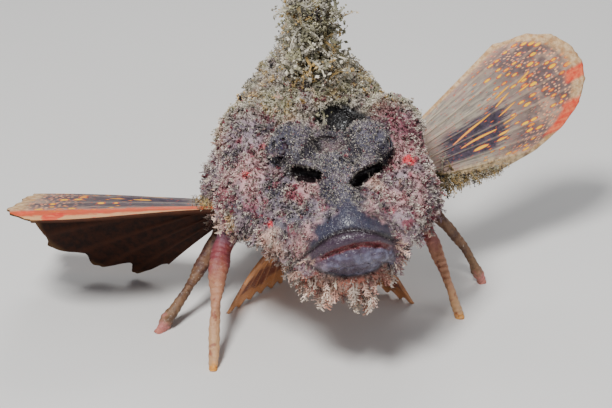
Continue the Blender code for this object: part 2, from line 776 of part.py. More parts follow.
def ray_columns(count, notch, ray=(1.9, 0.8), web=(0.9, 0.6)):
    """Columns for ray_sheet: one on each ray and one on the web between. notch(k) is how far the web is cut back."""
    columns = []
    for i in range(count):
        columns.append((i / (count - 1), 1.0, ray[0] * MM, ray[1] * MM))
        if i < count - 1:
            k = (i + 0.5) / (count - 1)
            columns.append((k, 1.0 - notch(k), web[0] * MM, web[1] * MM))
    return columns


def cut_clear(obj, clearance, floor=False):
    """Trims a fin's root to the body's skin, and its foot to the floor."""
    boolean(obj, copy_of(clearance, "clearance"), "DIFFERENCE")
    if floor:
        boolean(obj, block("ground", (-0.3, -0.3, -0.05), (0.3, 0.5, 0.0)), "DIFFERENCE")
    return obj


class Fan:
    """A pectoral fan laid flat and then folded along one ray, away from its inner, spotted face."""

    def __init__(self, root, along, across, length, base, spread, shares, fold_share, fold_angle, cup):
        self.root = Vector(root) * MM
        self.along = Vector(along).normalized()
        across = Vector(across)
        self.across = (across - self.along * across.dot(self.along)).normalized()
        self.length, self.base = length * MM, base * MM
        self.low, self.high = (math.radians(angle) for angle in spread)
        self.shares = shares
        self.fold_share, self.fold_angle, self.cup = fold_share, fold_angle, cup
        inner = self.along.cross(self.across)
        self.inner = inner if inner.z > 0 else -inner

    def flat(self, k, u):
        """Along and across distances of a point on ray k, which runs from 0 at the back edge to 1 at the belly edge."""
        angle = self.low + (self.high - self.low) * k
        reach = self.length * smooth_lookup(self.shares, k)[0] * u
        return reach * math.cos(angle), self.base * (k - 0.5) + reach * math.sin(angle)

    def place(self, k, u):
        here = self.bent(k, u)
        step = 0.01
        along_ray = self.bent(k, u + step) - here
        over_rays = self.bent(k + step, u) - here
        return here, along_ray.cross(over_rays).normalized()

    def bent(self, k, u):
        s, v = self.flat(k, u)
        _, v_fold = self.flat(self.fold_share, u)
        past = v - v_fold
        radius = 5.0 * MM
        lift = -self.cup * (u**2) * self.length
        if past > 0:
            turned = min(past / radius, self.fold_angle)
            out = radius * math.sin(turned) + (past - radius * turned) * math.cos(turned)
            down = radius * (1 - math.cos(turned)) + (past - radius * turned) * math.sin(turned)
            v, lift = v_fold + out, lift - down
        return self.root + self.along * s + self.across * v + self.inner * lift


def pectoral_fan(name, fan, notches, clearance):
    """A fan whose web is cut back between its rays, by one share up to its middle and by another at its last ray."""
    def notch(k):
        return notches[0] + (notches[1] - notches[0]) * max(0.0, k - 0.5) / 0.5

    columns = ray_columns(PECTORAL_RAYS, notch, ray=(1.9, 0.75), web=(1.0, 0.6))
    sheet = ray_sheet(name, fan.place, columns, 8)
    cut_clear(sheet, clearance, floor=True)
    return finish(sheet, FIN)


def walking_ray(name, points, radii, clearance):
    """One free ray, a jointed finger that bends to the floor."""
    path = [Vector(p) * MM for p in points]
    fine, widths = [], []
    steps = 3
    for i in range(len(path) - 1):
        for j in range(steps):
            t = j / steps
            before, after = path[max(i - 1, 0)], path[min(i + 2, len(path) - 1)]
            a, b = path[i], path[i + 1]
            point = (
                a * (2 * t**3 - 3 * t**2 + 1)
                + (b - before) * 0.5 * (t**3 - 2 * t**2 + t)
                + b * (3 * t**2 - 2 * t**3)
                + (after - a) * 0.5 * (t**3 - t**2)
            )
            fine.append(point)
            widths.append((radii[i] + (radii[i + 1] - radii[i]) * t) * MM)
    fine.append(path[-1])
    widths.append(radii[-1] * MM)
    ray = tube(name, fine, widths, sides=8)
    cut_clear(ray, clearance, floor=True)
    return finish(ray, LIMB)


def upright_fin(name, start, end, root_depth, reach, lean, notch, rays, clearance, up=1, floor=False):
    """A fin in the fish's middle plane, along its back or belly, with rays that lean back."""
    start, end = start * MM, end * MM

    def place(k, u):
        y = start + (end - start) * k
        _, top, bottom = body_section(y)
        edge = top if up > 0 else bottom
        root = Vector((0, y, edge - up * root_depth * MM))
        angle = lean[0] + (lean[1] - lean[0]) * k
        height = (root_depth + reach(k)) * MM * u
        point = root + Vector((0, math.sin(angle) * height, up * math.cos(angle) * height))
        point.x += 0.6 * MM * math.sin(7 * k) * u
        return point, Vector((1, 0, 0))

    sheet = ray_sheet(name, place, ray_columns(rays, notch, ray=(1.6, 0.8), web=(0.9, 0.6)), 5)
    cut_clear(sheet, clearance, floor)
    return finish(sheet, FIN)


def spiny_dorsal(name, first, last, count, heights, leans, clearance, draw, flags):
    """Spines along the back, each with a ragged flag of web behind it, joined by a low web at their feet."""
    columns = []
    splay = [(0.14 if i % 2 else -0.14) + draw.uniform(-0.06, 0.06) for i in range(count + 1)]
    for i in range(count):
        k = i / count
        columns.append((k, 1.0, 2.0 * MM, 0.7 * MM))
        columns.append((k + 0.30 / count, draw.uniform(0.70, 0.86), 1.0 * MM, 0.6 * MM))
        columns.append((k + 0.72 / count, draw.uniform(0.36, 0.46), 1.0 * MM, 0.6 * MM))
    columns.append((1.0, 0.34, 1.0 * MM, 0.6 * MM))
    root_depth = 3.0

    def place(k, u):
        y = (first + (last - first) * k) * MM
        _, top, _ = body_section(y)
        root = Vector((0, y, top - root_depth * MM))
        height = (root_depth + heights(k)) * MM * u
        lean = math.radians(leans[0] + (leans[1] - leans[0]) * k)
        at = min(int(k * count + 1e-6), count)
        bow = 1 + 0.25 * u
        point = root + Vector((math.sin(splay[at]) * height, math.sin(lean * bow) * height, math.cos(lean * bow) * height))
        return point, Vector((1, 0, 0))

    fin = ray_sheet(name, place, columns, 4)
    pieces = []
    for i in range(0, count, flags[0]):
        k = i / count
        for u, length, side in flags[1]:
            point, _ = place(k, u)
            turned = side * (1 if i % 2 else -1)
            way = Vector((turned * draw.uniform(0.7, 1.0), draw.uniform(-0.5, 0.5), draw.uniform(-0.2, 0.5)))
            pieces += small_tassel(f"{name}_rag{i}{u}", point, way, length * MM, draw)
    fuse(fin, pieces)
    cut_clear(fin, clearance)
    reduce(keep_largest(fin), SPINE_TRIANGLES * (count + 1) + 24 * len(pieces))
    return finish(fin, FIN)


def small_tassel(name, root, way, length, draw):
    """A forked scrap of skin on a spine: one blade with one side blade."""
    way = way.normalized()
    flat = Vector((0, 0.3, 1))
    end = root + way * length + Vector((0, 0, -0.25 * length))
    fork = root.lerp(end, 0.45)
    fork_way = (way + Vector((0, draw.uniform(-0.4, 0.4), 0.9))).normalized()
    return [
        strap(name, [root - way * 0.4 * MM, root.lerp(end, 0.5), end], [1.6 * MM, 1.3 * MM], [0.8 * MM, 0.7 * MM], flat),
        strap(
            name + "_fork",
            [fork - fork_way * 0.3 * MM, fork + fork_way * length * 0.3, fork + fork_way * length * 0.55],
            [1.1 * MM, 0.9 * MM],
            [0.7 * MM, 0.6 * MM],
            Vector((0, 1, 0)),
        ),
    ]


def caudal_fin(clearance):
    """The rounded tail fin, which rests its lower edge on the floor."""
    rays = 12
    root_y, root_z = 170 * MM, 16.6 * MM

    def place(k, u):
        angle = math.radians(-33 + 66 * k)
        root = Vector((0, root_y, root_z + (k - 0.5) * 11 * MM))
        length = (39 + 3.5 * math.sin(math.pi * k)) * MM * u
        sway = 2.5 * MM * u**2
        return root + Vector((sway, math.cos(angle) * length, math.sin(angle) * length * 0.93)), Vector((1, 0, 0))

    sheet = ray_sheet("caudal_fin", place, ray_columns(rays, lambda k: 0.03, ray=(1.8, 0.8), web=(1.0, 0.6)), 6)
    cut_clear(sheet, clearance, floor=True)
    return finish(sheet, FIN)


def pelvic_fin(name, side, clearance):
    """Spread from the belly to the floor, with its outer spine in front."""
    rays = 6

    def place(k, u):
        root = Vector((side * (10.5 - 4.5 * k), 50 + 15 * k, 23.5)) * MM
        tip = Vector((side * (29 - 18 * k), 47 + 18 * k, -0.5 + 1.3 * math.sin(math.pi * k))) * MM
        point = root.lerp(tip, u)
        point.z += 3.0 * MM * math.sin(math.pi * u)
        return point, Vector((side * 0.70, 0.52, 0.48)).normalized()

    sheet = ray_sheet(name, place, ray_columns(rays, lambda k: 0.05, ray=(1.9, 1.0), web=(1.0, 0.7)), 5)
    cut_clear(sheet, clearance, floor=True)
    return finish(sheet, FIN)


def bring_to_origin(nodes):
    """Hangs the fish on an empty that puts the middle of its base at the origin."""
    bpy.context.view_layer.update()
    corners = np.array([obj.matrix_world @ Vector(c) for obj in nodes for c in obj.bound_box])
    low, high = corners.min(axis=0), corners.max(axis=0)
    stand = bpy.data.objects.new("devilfish", None)
    bpy.context.scene.collection.objects.link(stand)
    stand.location = (-(low[0] + high[0]) / 2, -(low[1] + high[1]) / 2, -low[2])
    for obj in nodes:
        obj.parent = stand


def main():
    clear_scene()
    draw = random.Random(SEED)
    body = whole_body()
    tree = surface(body)
    clearance = inflated(body, "clearance_form", GAP * 1.25)
    nodes = [make_head(body, tree, draw), make_jaw(body, tree, draw)]
    nodes += [eye("eye_left", 1), eye("eye_right", -1)]
    nodes += [make_trunk(body, tree, draw), make_tail(body, tree, draw)]
    left_shares = ((0.0, 0.39), (0.13, 0.63), (0.3, 0.86), (0.5, 0.99), (0.7, 0.98), (0.85, 0.88), (1.0, 0.70))
    right_shares = ((0.0, 0.95), (0.3, 1.02), (0.5, 1.0), (0.75, 0.75), (1.0, 0.58))
    left = Fan(
        (28.6, 61, 41.2), (0.85, 0.33, 0.43), (-0.30, 0.40, 0.86), 67.3, 15.1, (-23.7, 10.4), left_shares, 0.8,
        math.radians(40), 0.06
    )
    right = Fan(
        (-28.1, 57.5, 33.0), (-0.97, 0.07, 0.06), (0.05, 0.96, -0.22), 63.7, 15.2, (-12.8, 59), right_shares, 0.375,
        math.radians(84), 0.05
    )
    nodes.append(pectoral_fan("pectoral_fin_left", left, (0.02, 0.04), clearance))
    nodes.append(pectoral_fan("pectoral_fin_right", right, (0.015, 0.145), clearance))
    foot = -FLOOR_SINK / MM
    walking = (
        ("walking_ray_left_front", ((26, 56, 32), (33, 50, 24), (38, 41, 12), (42, 37, foot)), (3.2, 2.4, 1.5, 1.3)),
        ("walking_ray_left_rear", ((26, 63, 30), (37, 61, 24), (47, 59, 12), (53, 58, foot)), (3.0, 2.2, 1.4, 1.2)),
        ("walking_ray_right_front", ((-26, 52.5, 29), (-30.6, 44, 21.5), (-33, 28, 12.5), (-34.6, 15, foot)), (3.3, 3.1, 1.7, 1.3)),
        ("walking_ray_right_rear", ((-27, 60, 27), (-34.5, 53, 17), (-42, 45, 8.5), (-50.5, 38, foot)), (2.9, 2.2, 1.5, 1.4)),
    )
    nodes += [walking_ray(name, points, radii, clearance) for name, points, radii in walking]
    nodes.append(pelvic_fin("pelvic_fin_left", 1, clearance))
    nodes.append(pelvic_fin("pelvic_fin_right", -1, clearance))
    long_rags = (1, ((0.3, 12.0, 1), (0.45, 13.0, -1), (0.62, 12.0, 1), (0.8, 11.0, -1), (0.95, 8.0, 1)))
    short_rags = (2, ((0.5, 7.0, 1), (0.85, 5.0, -1)))
    nodes.append(
        spiny_dorsal(
            "dorsal_spines_front", 53, 65, 3, lambda k: 26 + 6 * math.sin(math.pi * (k + 0.2)), (6, 14), clearance, draw,
            long_rags,
        )
    )
    nodes.append(
        spiny_dorsal(
            "dorsal_spines", 68, 134, SPINE_COUNT, lambda k: 26 - 8 * k + 3 * math.sin(math.pi * k), (20, 34), clearance,
            draw, short_rags,
        )
    )
    nodes.append(
        upright_fin(
            "dorsal_fin_soft", 137, 163, 3, lambda k: 14 + 7 * math.sin(math.pi * (0.25 + 0.6 * k)),
            (math.radians(35), math.radians(55)), lambda k: 0.06, 8, clearance,
        )
    )
    nodes.append(
        upright_fin(
            "anal_fin", 112, 160, 3, lambda k: 7 + 5.0 * math.sin(math.pi * (0.15 + 0.75 * k)),
            (math.radians(40), math.radians(58)), lambda k: 0.10, 12, clearance, up=-1, floor=True,
        )
    )
    nodes.append(caudal_fin(clearance))
    for helper in (body, clearance):
        bpy.data.objects.remove(helper)
    bring_to_origin(nodes)


main()
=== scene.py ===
import math

import bpy
import numpy as np
from numpy.linalg import norm
from bpy.props import FloatProperty, FloatVectorProperty, IntProperty, PointerProperty
from mathutils import Matrix, Vector
from mathutils.bvhtree import BVHTree


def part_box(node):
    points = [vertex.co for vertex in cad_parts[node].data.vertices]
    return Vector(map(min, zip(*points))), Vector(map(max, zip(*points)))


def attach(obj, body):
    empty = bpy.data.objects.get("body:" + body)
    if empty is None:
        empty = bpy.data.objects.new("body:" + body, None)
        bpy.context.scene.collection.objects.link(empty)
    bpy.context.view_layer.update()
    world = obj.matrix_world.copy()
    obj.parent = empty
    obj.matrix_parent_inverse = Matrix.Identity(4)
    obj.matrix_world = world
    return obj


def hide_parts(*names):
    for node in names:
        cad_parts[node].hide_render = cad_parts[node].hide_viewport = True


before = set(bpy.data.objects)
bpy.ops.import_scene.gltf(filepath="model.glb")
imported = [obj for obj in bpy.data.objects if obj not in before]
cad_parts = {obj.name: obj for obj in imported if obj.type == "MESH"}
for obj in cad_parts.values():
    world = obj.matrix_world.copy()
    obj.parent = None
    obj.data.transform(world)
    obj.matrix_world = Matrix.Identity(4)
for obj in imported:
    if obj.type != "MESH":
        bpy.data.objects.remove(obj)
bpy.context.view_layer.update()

bl_info = {
    "name": "Spiny devilfish",
    "version": (1, 0, 0),
    "blender": (4, 5, 0),
    "location": "3D View > Sidebar > Devilfish",
    "description": "Dresses the packed solids of a life-size spiny devilfish and sets it on a studio floor",
    "category": "Mesh",
}

# The fish is modelled on its own axes, in millimetres: snout at y 0, floor at z 0, middle plane at x 0,
# its left side towards +X. SHIFT brings that to the frame, found from where the left eye stands in it.
MM = 0.001
EYE_RADIUS = 2.9
# Left eye, before the snout is turned; the right one is its mirror.
EYE_PLACE = np.array((13.9, 29.0, 63.5))
EYE_AXIS = Vector((0.88, -0.34, 0.32)).normalized()
SNOUT_TURN = (4.6, 60.0)     # how far the snout is turned to the left, and where the bend begins


def snout_shift(y):
    """How far the face's middle lies to the fish's left at a distance behind the snout."""
    shift, start = SNOUT_TURN
    return shift * (np.maximum(start - y, 0.0) / start) ** 2


def eye_centre(side):
    """Middle of an eye, moved aside with the turned snout."""
    return EYE_PLACE * (side, 1, 1) + (snout_shift(EYE_PLACE[1]), 0, 0)


EYE_LOW, EYE_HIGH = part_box("eye_left")
SHIFT = np.array((EYE_LOW + EYE_HIGH) / 2) - eye_centre(1) * MM

# Body outline: distance behind the snout, half width, top, bottom, squareness, taper of the belly.
BODY_STATIONS = np.array((
    (0.0, 6.0, 52.0, 40.5, 2.0, 0.10),
    (4.0, 10.0, 54.0, 34.5, 2.1, 0.20),
    (11.0, 14.5, 55.5, 29.5, 2.3, 0.30),
    (22.0, 21.0, 57.5, 26.0, 2.4, 0.38),
    (34.0, 25.5, 61.0, 23.5, 2.5, 0.40),
    (46.0, 28.0, 65.0, 21.5, 2.6, 0.38),
    (58.0, 27.5, 68.5, 20.0, 2.5, 0.32),
    (70.0, 25.0, 71.0, 19.0, 2.4, 0.28),
    (86.0, 20.5, 70.5, 18.5, 2.2, 0.25),
    (106.0, 15.0, 63.0, 16.0, 2.1, 0.20),
    (126.0, 10.5, 50.0, 13.0, 2.0, 0.15),
    (146.0, 7.0, 36.5, 10.5, 2.0, 0.10),
    (164.0, 4.2, 27.0, 9.5, 2.0, 0.0),
    (177.0, 3.0, 24.5, 9.0, 2.0, 0.0),
))
BODY_LENGTH = BODY_STATIONS[-1][0]
RING_POINTS = 48
RING_STEP = 1.5
FORM_VOXEL = 0.8
JAW_HINGE = (14.0, 35.8)     # y and z of the corner of the mouth
GAPE_FRONT = (-8.0, 51.8)    # y and z of the slit's plane ahead of the snout
GAPE_HALF_WIDTH = 12.4
GAPE_OPEN = (1.8, 0.4)       # how far the lips stand apart in front and at the corners
MOUTH_ROLL = math.radians(8)
LIP_RADIUS = 2.6

# Swellings and hollows: centre, half axes, tilt in degrees. Those off the middle plane have a mirror.
SWELLINGS = (
    ((10.2, 31.5, 62.5), (6.3, 6.4, 7.4), (0, 0, 0)),
    ((8.4, 21.5, 60.6), (2.7, 10.5, 2.6), (13, 0, -42)),
    ((20.5, 48.0, 57.0), (9.0, 14.0, 11.0), (0, 12, 0)),
    ((21.5, 38.0, 47.0), (9.5, 18.0, 13.5), (0, -14, 8)),
    ((14.5, 23.5, 44.5), (7.8, 13.5, 9.0), (0, -10, 18)),
    ((23.0, 55.0, 41.0), (8.0, 13.0, 16.0), (0, 0, 0)),
    ((26.0, 62.0, 35.0), (8.0, 8.0, 15.5), (-12, 0, 0)),
    ((0, 13.0, 56.3), (3.0, 10.5, 3.2), (14, 0, 0)),
    ((0, 21.5, 58.8), (5.6, 9.5, 3.6), (17, 0, 0)),
    ((0, 4.6, 52.4), (5.6, 4.6, 3.0), (24, 0, 0)),
    ((0, 37.0, 59.8), (9.0, 2.6, 5.0), (0, 0, 0)),
    ((0, 63.0, 66.0), (12.0, 14.0, 8.0), (0, 0, 0)),
    ((0, 11.0, 36.0), (11.0, 9.0, 9.5), (20, 0, 0)),
)
BETWEEN_EYES = ((0.3, 31.4, 64.0), (4.2, 4.2, 4.6), (0, 0, 0))
BEHIND_EYES = ((5.0, 45.4, 66.8), (6.8, 5.4, 7.8), (0, 0, 0))

# The pits before the eyes sink into the face along PIT_WAY: both ends, half height and depth of each.
PIT_WAY = (0.094, 0.894, -0.438)
FACE_PITS = (
    ((-11.6, 24.4, 58.3), (-3.4, 16.8, 60.0), 2.25, 5.2),
    ((5.8, 13.6, 58.6), (11.4, 20.8, 59.2), 1.9, 5.2),
    ((8.6, 18.4, 59.2), (16.4, 27.4, 57.4), 1.8, 5.2),
)

# Lines sculpted into the face, on the turned snout: grooves over the upper lip and under the lower one.
UPPER_GROOVE = (
    (-10.1, 9.3, 37.4), (-8.8, 7.3, 40.0), (-7.4, 4.3, 43.4), (-5.7, 2.4, 45.9), (-3.6, 1.3, 48.2),
    (-0.9, 0.6, 50.2), (2.0, -0.1, 51.4), (4.9, -0.5, 51.7), (7.5, -1.3, 51.7), (10.2, -1.6, 51.1),
    (13.0, -0.8, 49.6), (15.8, 3.0, 46.2),
)
LOWER_GROOVE = (
    (-8.5, 5.5, 38.6), (-5.8, 1.6, 39.0), (-2.8, 3.5, 36.7), (-0.1, 2.9, 36.0), (3.1, 2.3, 35.8),
    (6.7, 2.3, 35.9), (10.6, 3.9, 35.9), (14.0, 5.0, 38.0),
)
CORNER_FOLDS = (
    ((-9.4, 6.9, 39.6), (-8.6, 5.5, 38.4), (-7.2, 3.4, 37.6)),
    ((-10.6, 8.6, 40.4), (-9.4, 6.6, 37.0), (-7.6, 3.6, 35.8)),
    ((-12.4, 10.2, 41.0), (-11.2, 8.4, 36.4)),
    ((17.4, 7.6, 44.6), (16.6, 6.6, 40.8)),
    ((18.6, 10.2, 44.4), (18.2, 9.2, 40.0)),
)
# Dents between the eye knobs, the ridge and the brows, darkened with painted shade: path, radius, depth,
# darkness of the painted shade.
SHADES = (
    (((-1.6, 34.0, 60.6), (-1.8, 36.2, 62.2), (-0.6, 36.6, 62.6), (1.2, 36.8, 63.0), (2.9, 36.7, 62.7)),
        1.25, 1.3, 0.95),
    (((-4.2, 28.4, 65.5), (-5.2, 26.6, 64.2), (-6.8, 24.6, 63.0), (-8.8, 21.8, 62.9),
        (-12.3, 26.1, 61.0)), 1.3, 0.9, 0.62),
    (((5.8, 31.4, 65.2), (6.0, 28.8, 64.2), (6.4, 27.2, 62.7), (6.8, 25.8, 61.2), (7.0, 22.6, 61.1)),
        1.3, 0.9, 0.68),
    (((-11.9, 27.6, 66.2), (-11.2, 26.0, 64.7), (-10.5, 24.1, 63.4)), 1.8, 0.3, 0.5),
    (((16.4, 25.9, 65.9), (15.9, 25.8, 62.9), (14.5, 23.9, 62.3)), 1.1, 0.5, 0.6),
)
# The floor of the hollow behind the eyes, painted near black as shade.
HOLLOW_FLOOR_SHADE = ((5.3, 46.4, 62.6), (8.0, 6.4, 5.6), (0, 0, 0))

# Patches of the face's own tones: tone, middle, radius, strength.
PATCHES = (
    ("wine", (25.0, 38.5, 61.0), 8.5, 0.75), ("wine", (19.0, 45.0, 66.0), 6.0, 0.6),
    ("pink", (22.0, 34.0, 57.5), 5.0, 0.7), ("wine", (-30.0, 31.0, 47.5), 5.5, 0.8),
    ("ochre", (-28.5, 26.0, 43.0), 4.0, 0.7), ("grey", (-10.0, 13.0, 51.0), 7.0, 0.8),
    ("violet", (-14.0, 25.0, 53.5), 5.0, 0.7), ("pink", (-21.5, 31.0, 59.5), 6.0, 0.6),
    ("wine", (-22.0, 22.0, 50.0), 3.5, 0.7), ("blush", (-17.0, 14.0, 42.0), 5.5, 0.7),
    ("blush", (12.5, 19.0, 55.0), 4.5, 0.7), ("pink", (19.0, 17.0, 52.0), 6.0, 0.6),
    ("blush", (-6.7, 4.6, 40.6), 2.8, 0.9), ("blush", (-1.0, 5.0, 31.5), 5.5, 0.7),
    ("grey", (13.0, 11.0, 51.5), 3.5, 0.6), ("ochre", (6.0, 8.0, 30.0), 4.0, 0.6),
    ("blush", (30.0, 30.0, 50.0), 5.0, 0.6), ("red", (-23.1, 27.2, 56.4), 1.9, 0.95),
    ("red", (-17.4, 13.8, 47.7), 1.4, 0.9), ("red", (23.2, 28.5, 58.2), 2.1, 0.95),
    ("red", (16.5, 12.5, 50.3), 1.3, 0.85), ("red", (-17.3, 35.4, 60.7), 1.6, 0.6),
)

PECTORAL_RAYS = 10
LEFT_SHARES = ((0.0, 0.39), (0.13, 0.63), (0.3, 0.86), (0.5, 0.99), (0.7, 0.98), (0.85, 0.88), (1.0, 0.70))
RIGHT_SHARES = ((0.0, 0.90), (0.12, 1.01), (0.375, 0.97), (0.55, 1.03), (0.75, 0.86), (1.0, 0.62))
FANS = {
    "pectoral_fin_left": dict(
        root=(28.6, 61, 41.2), along=(0.85, 0.33, 0.43), across=(-0.30, 0.40, 0.86), length=67.3, base=15.1,
        spread=(-23.7, 10.4), shares=LEFT_SHARES, fold_share=0.8, fold_angle=math.radians(40), cup=0.06,
        notches=(0.006, 0.012), folds=10, bulge=0.0, torn=0.008,
    ),
    "pectoral_fin_right": dict(
        root=(-28.1, 57.5, 33.0), along=(-0.97, 0.07, 0.06), across=(0.05, 0.96, -0.22), length=63.7,
        base=15.2, spread=(-12.8, 59), shares=RIGHT_SHARES, fold_share=0.375, fold_angle=math.radians(84),
        cup=0.05,
        notches=(0.010, 0.17), folds=7.6, bulge=4.2, torn=0.025,
    ),
}
WALKING_RAYS = {
    "walking_ray_left_front": (
        ((26, 56, 32), (33, 50, 24), (38, 41, 12), (42, 37, -0.6)), (3.2, 2.4, 1.5, 1.3)
    ),
    "walking_ray_left_rear": (
        ((26, 63, 30), (37, 61, 24), (47, 59, 12), (53, 58, -0.6)), (3.0, 2.2, 1.4, 1.2)
    ),
    "walking_ray_right_front": (
        ((-26, 52.5, 29), (-30.6, 44, 21.5), (-33, 28, 12.5), (-34.6, 15, -0.6)), (3.3, 3.1, 1.7, 1.3)
    ),
    "walking_ray_right_rear": (
        ((-27, 60, 27), (-34.5, 53, 17), (-42, 45, 8.5), (-50.5, 38, -0.6)), (2.9, 2.2, 1.5, 1.4)
    ),
}


def linear(red, green, blue):
    """Scene-linear colour of a display colour given from 0 to 255."""
    shares = (red / 255, green / 255, blue / 255)
    return tuple(c / 12.92 if c <= 0.04045 else ((c + 0.055) / 1.055) ** 2.4 for c in shares)


def hue(name, description, red, green, blue):
    return FloatVectorProperty(
        name=name, description=description, default=linear(red, green, blue), size=3, min=0.0, max=1.0,
        subtype="COLOR"
    )


def length_of(name, description, millimetres):
    return FloatProperty(
        name=name, description=description, default=millimetres * MM, min=0.0, subtype="DISTANCE",
        unit="LENGTH"
    )


def number_of(name, description, default):
    return IntProperty(name=name, description=description, default=default, min=0)


class DevilfishColours(bpy.types.PropertyGroup):
    violet: hue("Violet", "Smooth skin of the face's middle", 55, 54, 70)
    lavender: hue("Lavender", "Lower lip", 98, 95, 116)
    plum: hue("Plum", "Upper lip", 60, 43, 58)
    mouth: hue("Mouth", "Inside of the mouth", 96, 20, 18)
    grey: hue("Grey", "Eye knobs and nose ridge", 84, 80, 91)
    mauve: hue("Mauve", "Cheeks", 158, 136, 144)
    pink: hue("Pink", "Lighter patches of the cheeks", 198, 152, 152)
    wine: hue("Wine", "Dark red patches of the cheeks", 132, 56, 70)
    red: hue("Red", "Few bright spots on the cheeks", 214, 48, 58)
    blush: hue("Blush", "Corners of the mouth, chin and cheek fringe", 232, 190, 170)
    orange: hue("Orange", "Fringe, fin margins and feet", 206, 128, 88)
    ochre: hue("Ochre", "Yellowish patches of skin", 200, 166, 104)
    cream: hue("Cream", "Tips of papillae and tassels", 244, 234, 216)
    sand: hue("Sand", "Grit on the skin", 200, 194, 178)
    olive: hue("Olive", "Nape and back", 166, 160, 128)
    # Umber is also the colour of the painted shade in the pits, dents, grooves and hollows of the face.
    umber_and_shade: hue("Umber", "Darkest skin, in pits and under fans", 38, 27, 30)
    belly: hue("Belly", "Underside", 150, 122, 110)


class DevilfishSizes(bpy.types.PropertyGroup):
    skin_voxel: length_of("Skin detail", "Edge of the skin's faces", 0.58)
    papilla: length_of("Papilla", "Length of a cheek papilla", 1.25)
    grain: length_of("Grain", "Width of a grain of sand", 0.27)
    tassel: length_of("Tassel", "Length of a fringe tassel", 5.0)
    papillae: number_of("Papillae", "How many papillae each quarter of the head has", 2500)
    stubble: number_of("Stubble", "How many short papillae the middle of the face has", 3600)
    grains: number_of("Grains", "How many grains stick to the head", 23000)
    fan_web: length_of("Fan web", "Thickness of a fan between its rays", 0.55)
    fan_ray: length_of("Fan ray", "Thickness of a fan at a ray", 1.5)


class DevilfishStage(bpy.types.PropertyGroup):
    floor: hue("Floor", "Plain pale floor", 226, 224, 220)
    azimuth: FloatProperty(name="Azimuth", description="Camera's turn round the fish",
        default=math.radians(-6), subtype="ANGLE")
    elevation: FloatProperty(name="Elevation", description="Camera's height angle",
        default=math.radians(26), subtype="ANGLE")
    distance: length_of("Distance", "Camera to face", 450.0)


def mesh_piece(name, points, faces):
    """A new mesh object from points in millimetres on the fish's own axes, placed in the frame."""
    mesh = bpy.data.meshes.new(name)
    placed = np.asarray(points, dtype=float) * MM + SHIFT
    mesh.from_pydata(placed.tolist(), [], np.asarray(faces).tolist())
    obj = bpy.data.objects.new(name, mesh)
    bpy.context.scene.collection.objects.link(obj)
    return obj


def form_object(name, points, faces):
    """A helper mesh in metres on the fish's own axes, not yet in the frame."""
    mesh = bpy.data.meshes.new(name)
    mesh.from_pydata([tuple(p) for p in points], [], faces)
    obj = bpy.data.objects.new(name, mesh)
    bpy.context.scene.collection.objects.link(obj)
    return outward(obj)


def outward(obj):
    """Turns a closed mesh inside out if its faces point inwards."""
    mesh = obj.data
    mesh.calc_loop_triangles()
    corners = np.empty(len(mesh.loop_triangles) * 3, dtype=np.int64)
    mesh.loop_triangles.foreach_get("vertices", corners)
    places = np.empty(len(mesh.vertices) * 3)
    mesh.vertices.foreach_get("co", places)
    places = places.reshape(-1, 3) - places.reshape(-1, 3).mean(axis=0)
    a, b, c = (places[corners.reshape(-1, 3)[:, i]] for i in range(3))
    if np.einsum("ij,ij->i", a, np.cross(b, c)).sum() < 0:
        mesh.flip_normals()
    return obj


def deselect():
    if bpy.context.object and bpy.context.object.mode != "OBJECT":
        bpy.ops.object.mode_set(mode="OBJECT")
    bpy.ops.object.select_all(action="DESELECT")


def apply_modifiers(obj):
    deselect()
    obj.select_set(True)
    bpy.context.view_layer.objects.active = obj
    for modifier in list(obj.modifiers):
        bpy.ops.object.modifier_apply(modifier=modifier.name)


def put_attribute(obj, name, values):
    """Stores a number or a colour for every vertex."""
    values = np.asarray(values, dtype=float)
    if values.ndim == 1:
        layer = obj.data.attributes.new(name, "FLOAT", "POINT")
        layer.data.foreach_set("value", values.ravel())
    else:
        layer = obj.data.attributes.new(name, "FLOAT_COLOR", "POINT")
        opaque = np.column_stack([values, np.ones(len(values))])
        layer.data.foreach_set("color", opaque.ravel())


def put_uv(obj, name, per_vertex):
    """Stores a UV map from one pair for every vertex."""
    layer = obj.data.uv_layers.new(name=name)
    corners = np.empty(len(obj.data.loops), dtype=np.int64)
    obj.data.loops.foreach_get("vertex_index", corners)
    layer.data.foreach_set("uv", np.asarray(per_vertex, dtype=float)[corners].ravel())


def hand_over(obj, nodes, materials):
    """Finishes a piece: materials, and what the frame has to know of it."""
    for material in materials:
        obj.data.materials.append(material)
    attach(obj, "root")
    if nodes:
        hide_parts(*nodes)
    return obj


def ramp(value, start, end):
    """0 before start, 1 past end, smooth between; start may be the larger."""
    t = np.clip((np.asarray(value, dtype=float) - start) / (end - start), 0.0, 1.0)
    return t * t * (3 - 2 * t)


def noise_field(points, size, seed):
    """Smooth random values from 0 to 1 that change over about size millimetres."""
    scaled = points / size + np.array((17.31, 9.73, 5.17)) * seed
    base = np.floor(scaled).astype(np.int64)
    t = scaled - base
    t = t * t * (3 - 2 * t)
    total = np.zeros(len(points))
    for corner in range(8):
        step = np.array((corner & 1, corner >> 1 & 1, corner >> 2 & 1))
        cell = base + step
        mixed = (cell[:, 0] * 73856093) ^ (cell[:, 1] * 19349663) ^ (cell[:, 2] * 83492791)
        mixed = (mixed * 1103515245 + 12345) & 0x7FFFFFFF
        mixed = (mixed >> 7 ^ mixed) % 10007
        total += mixed / 10006 * np.prod(np.where(step == 1, t, 1 - t), axis=1)
    return total


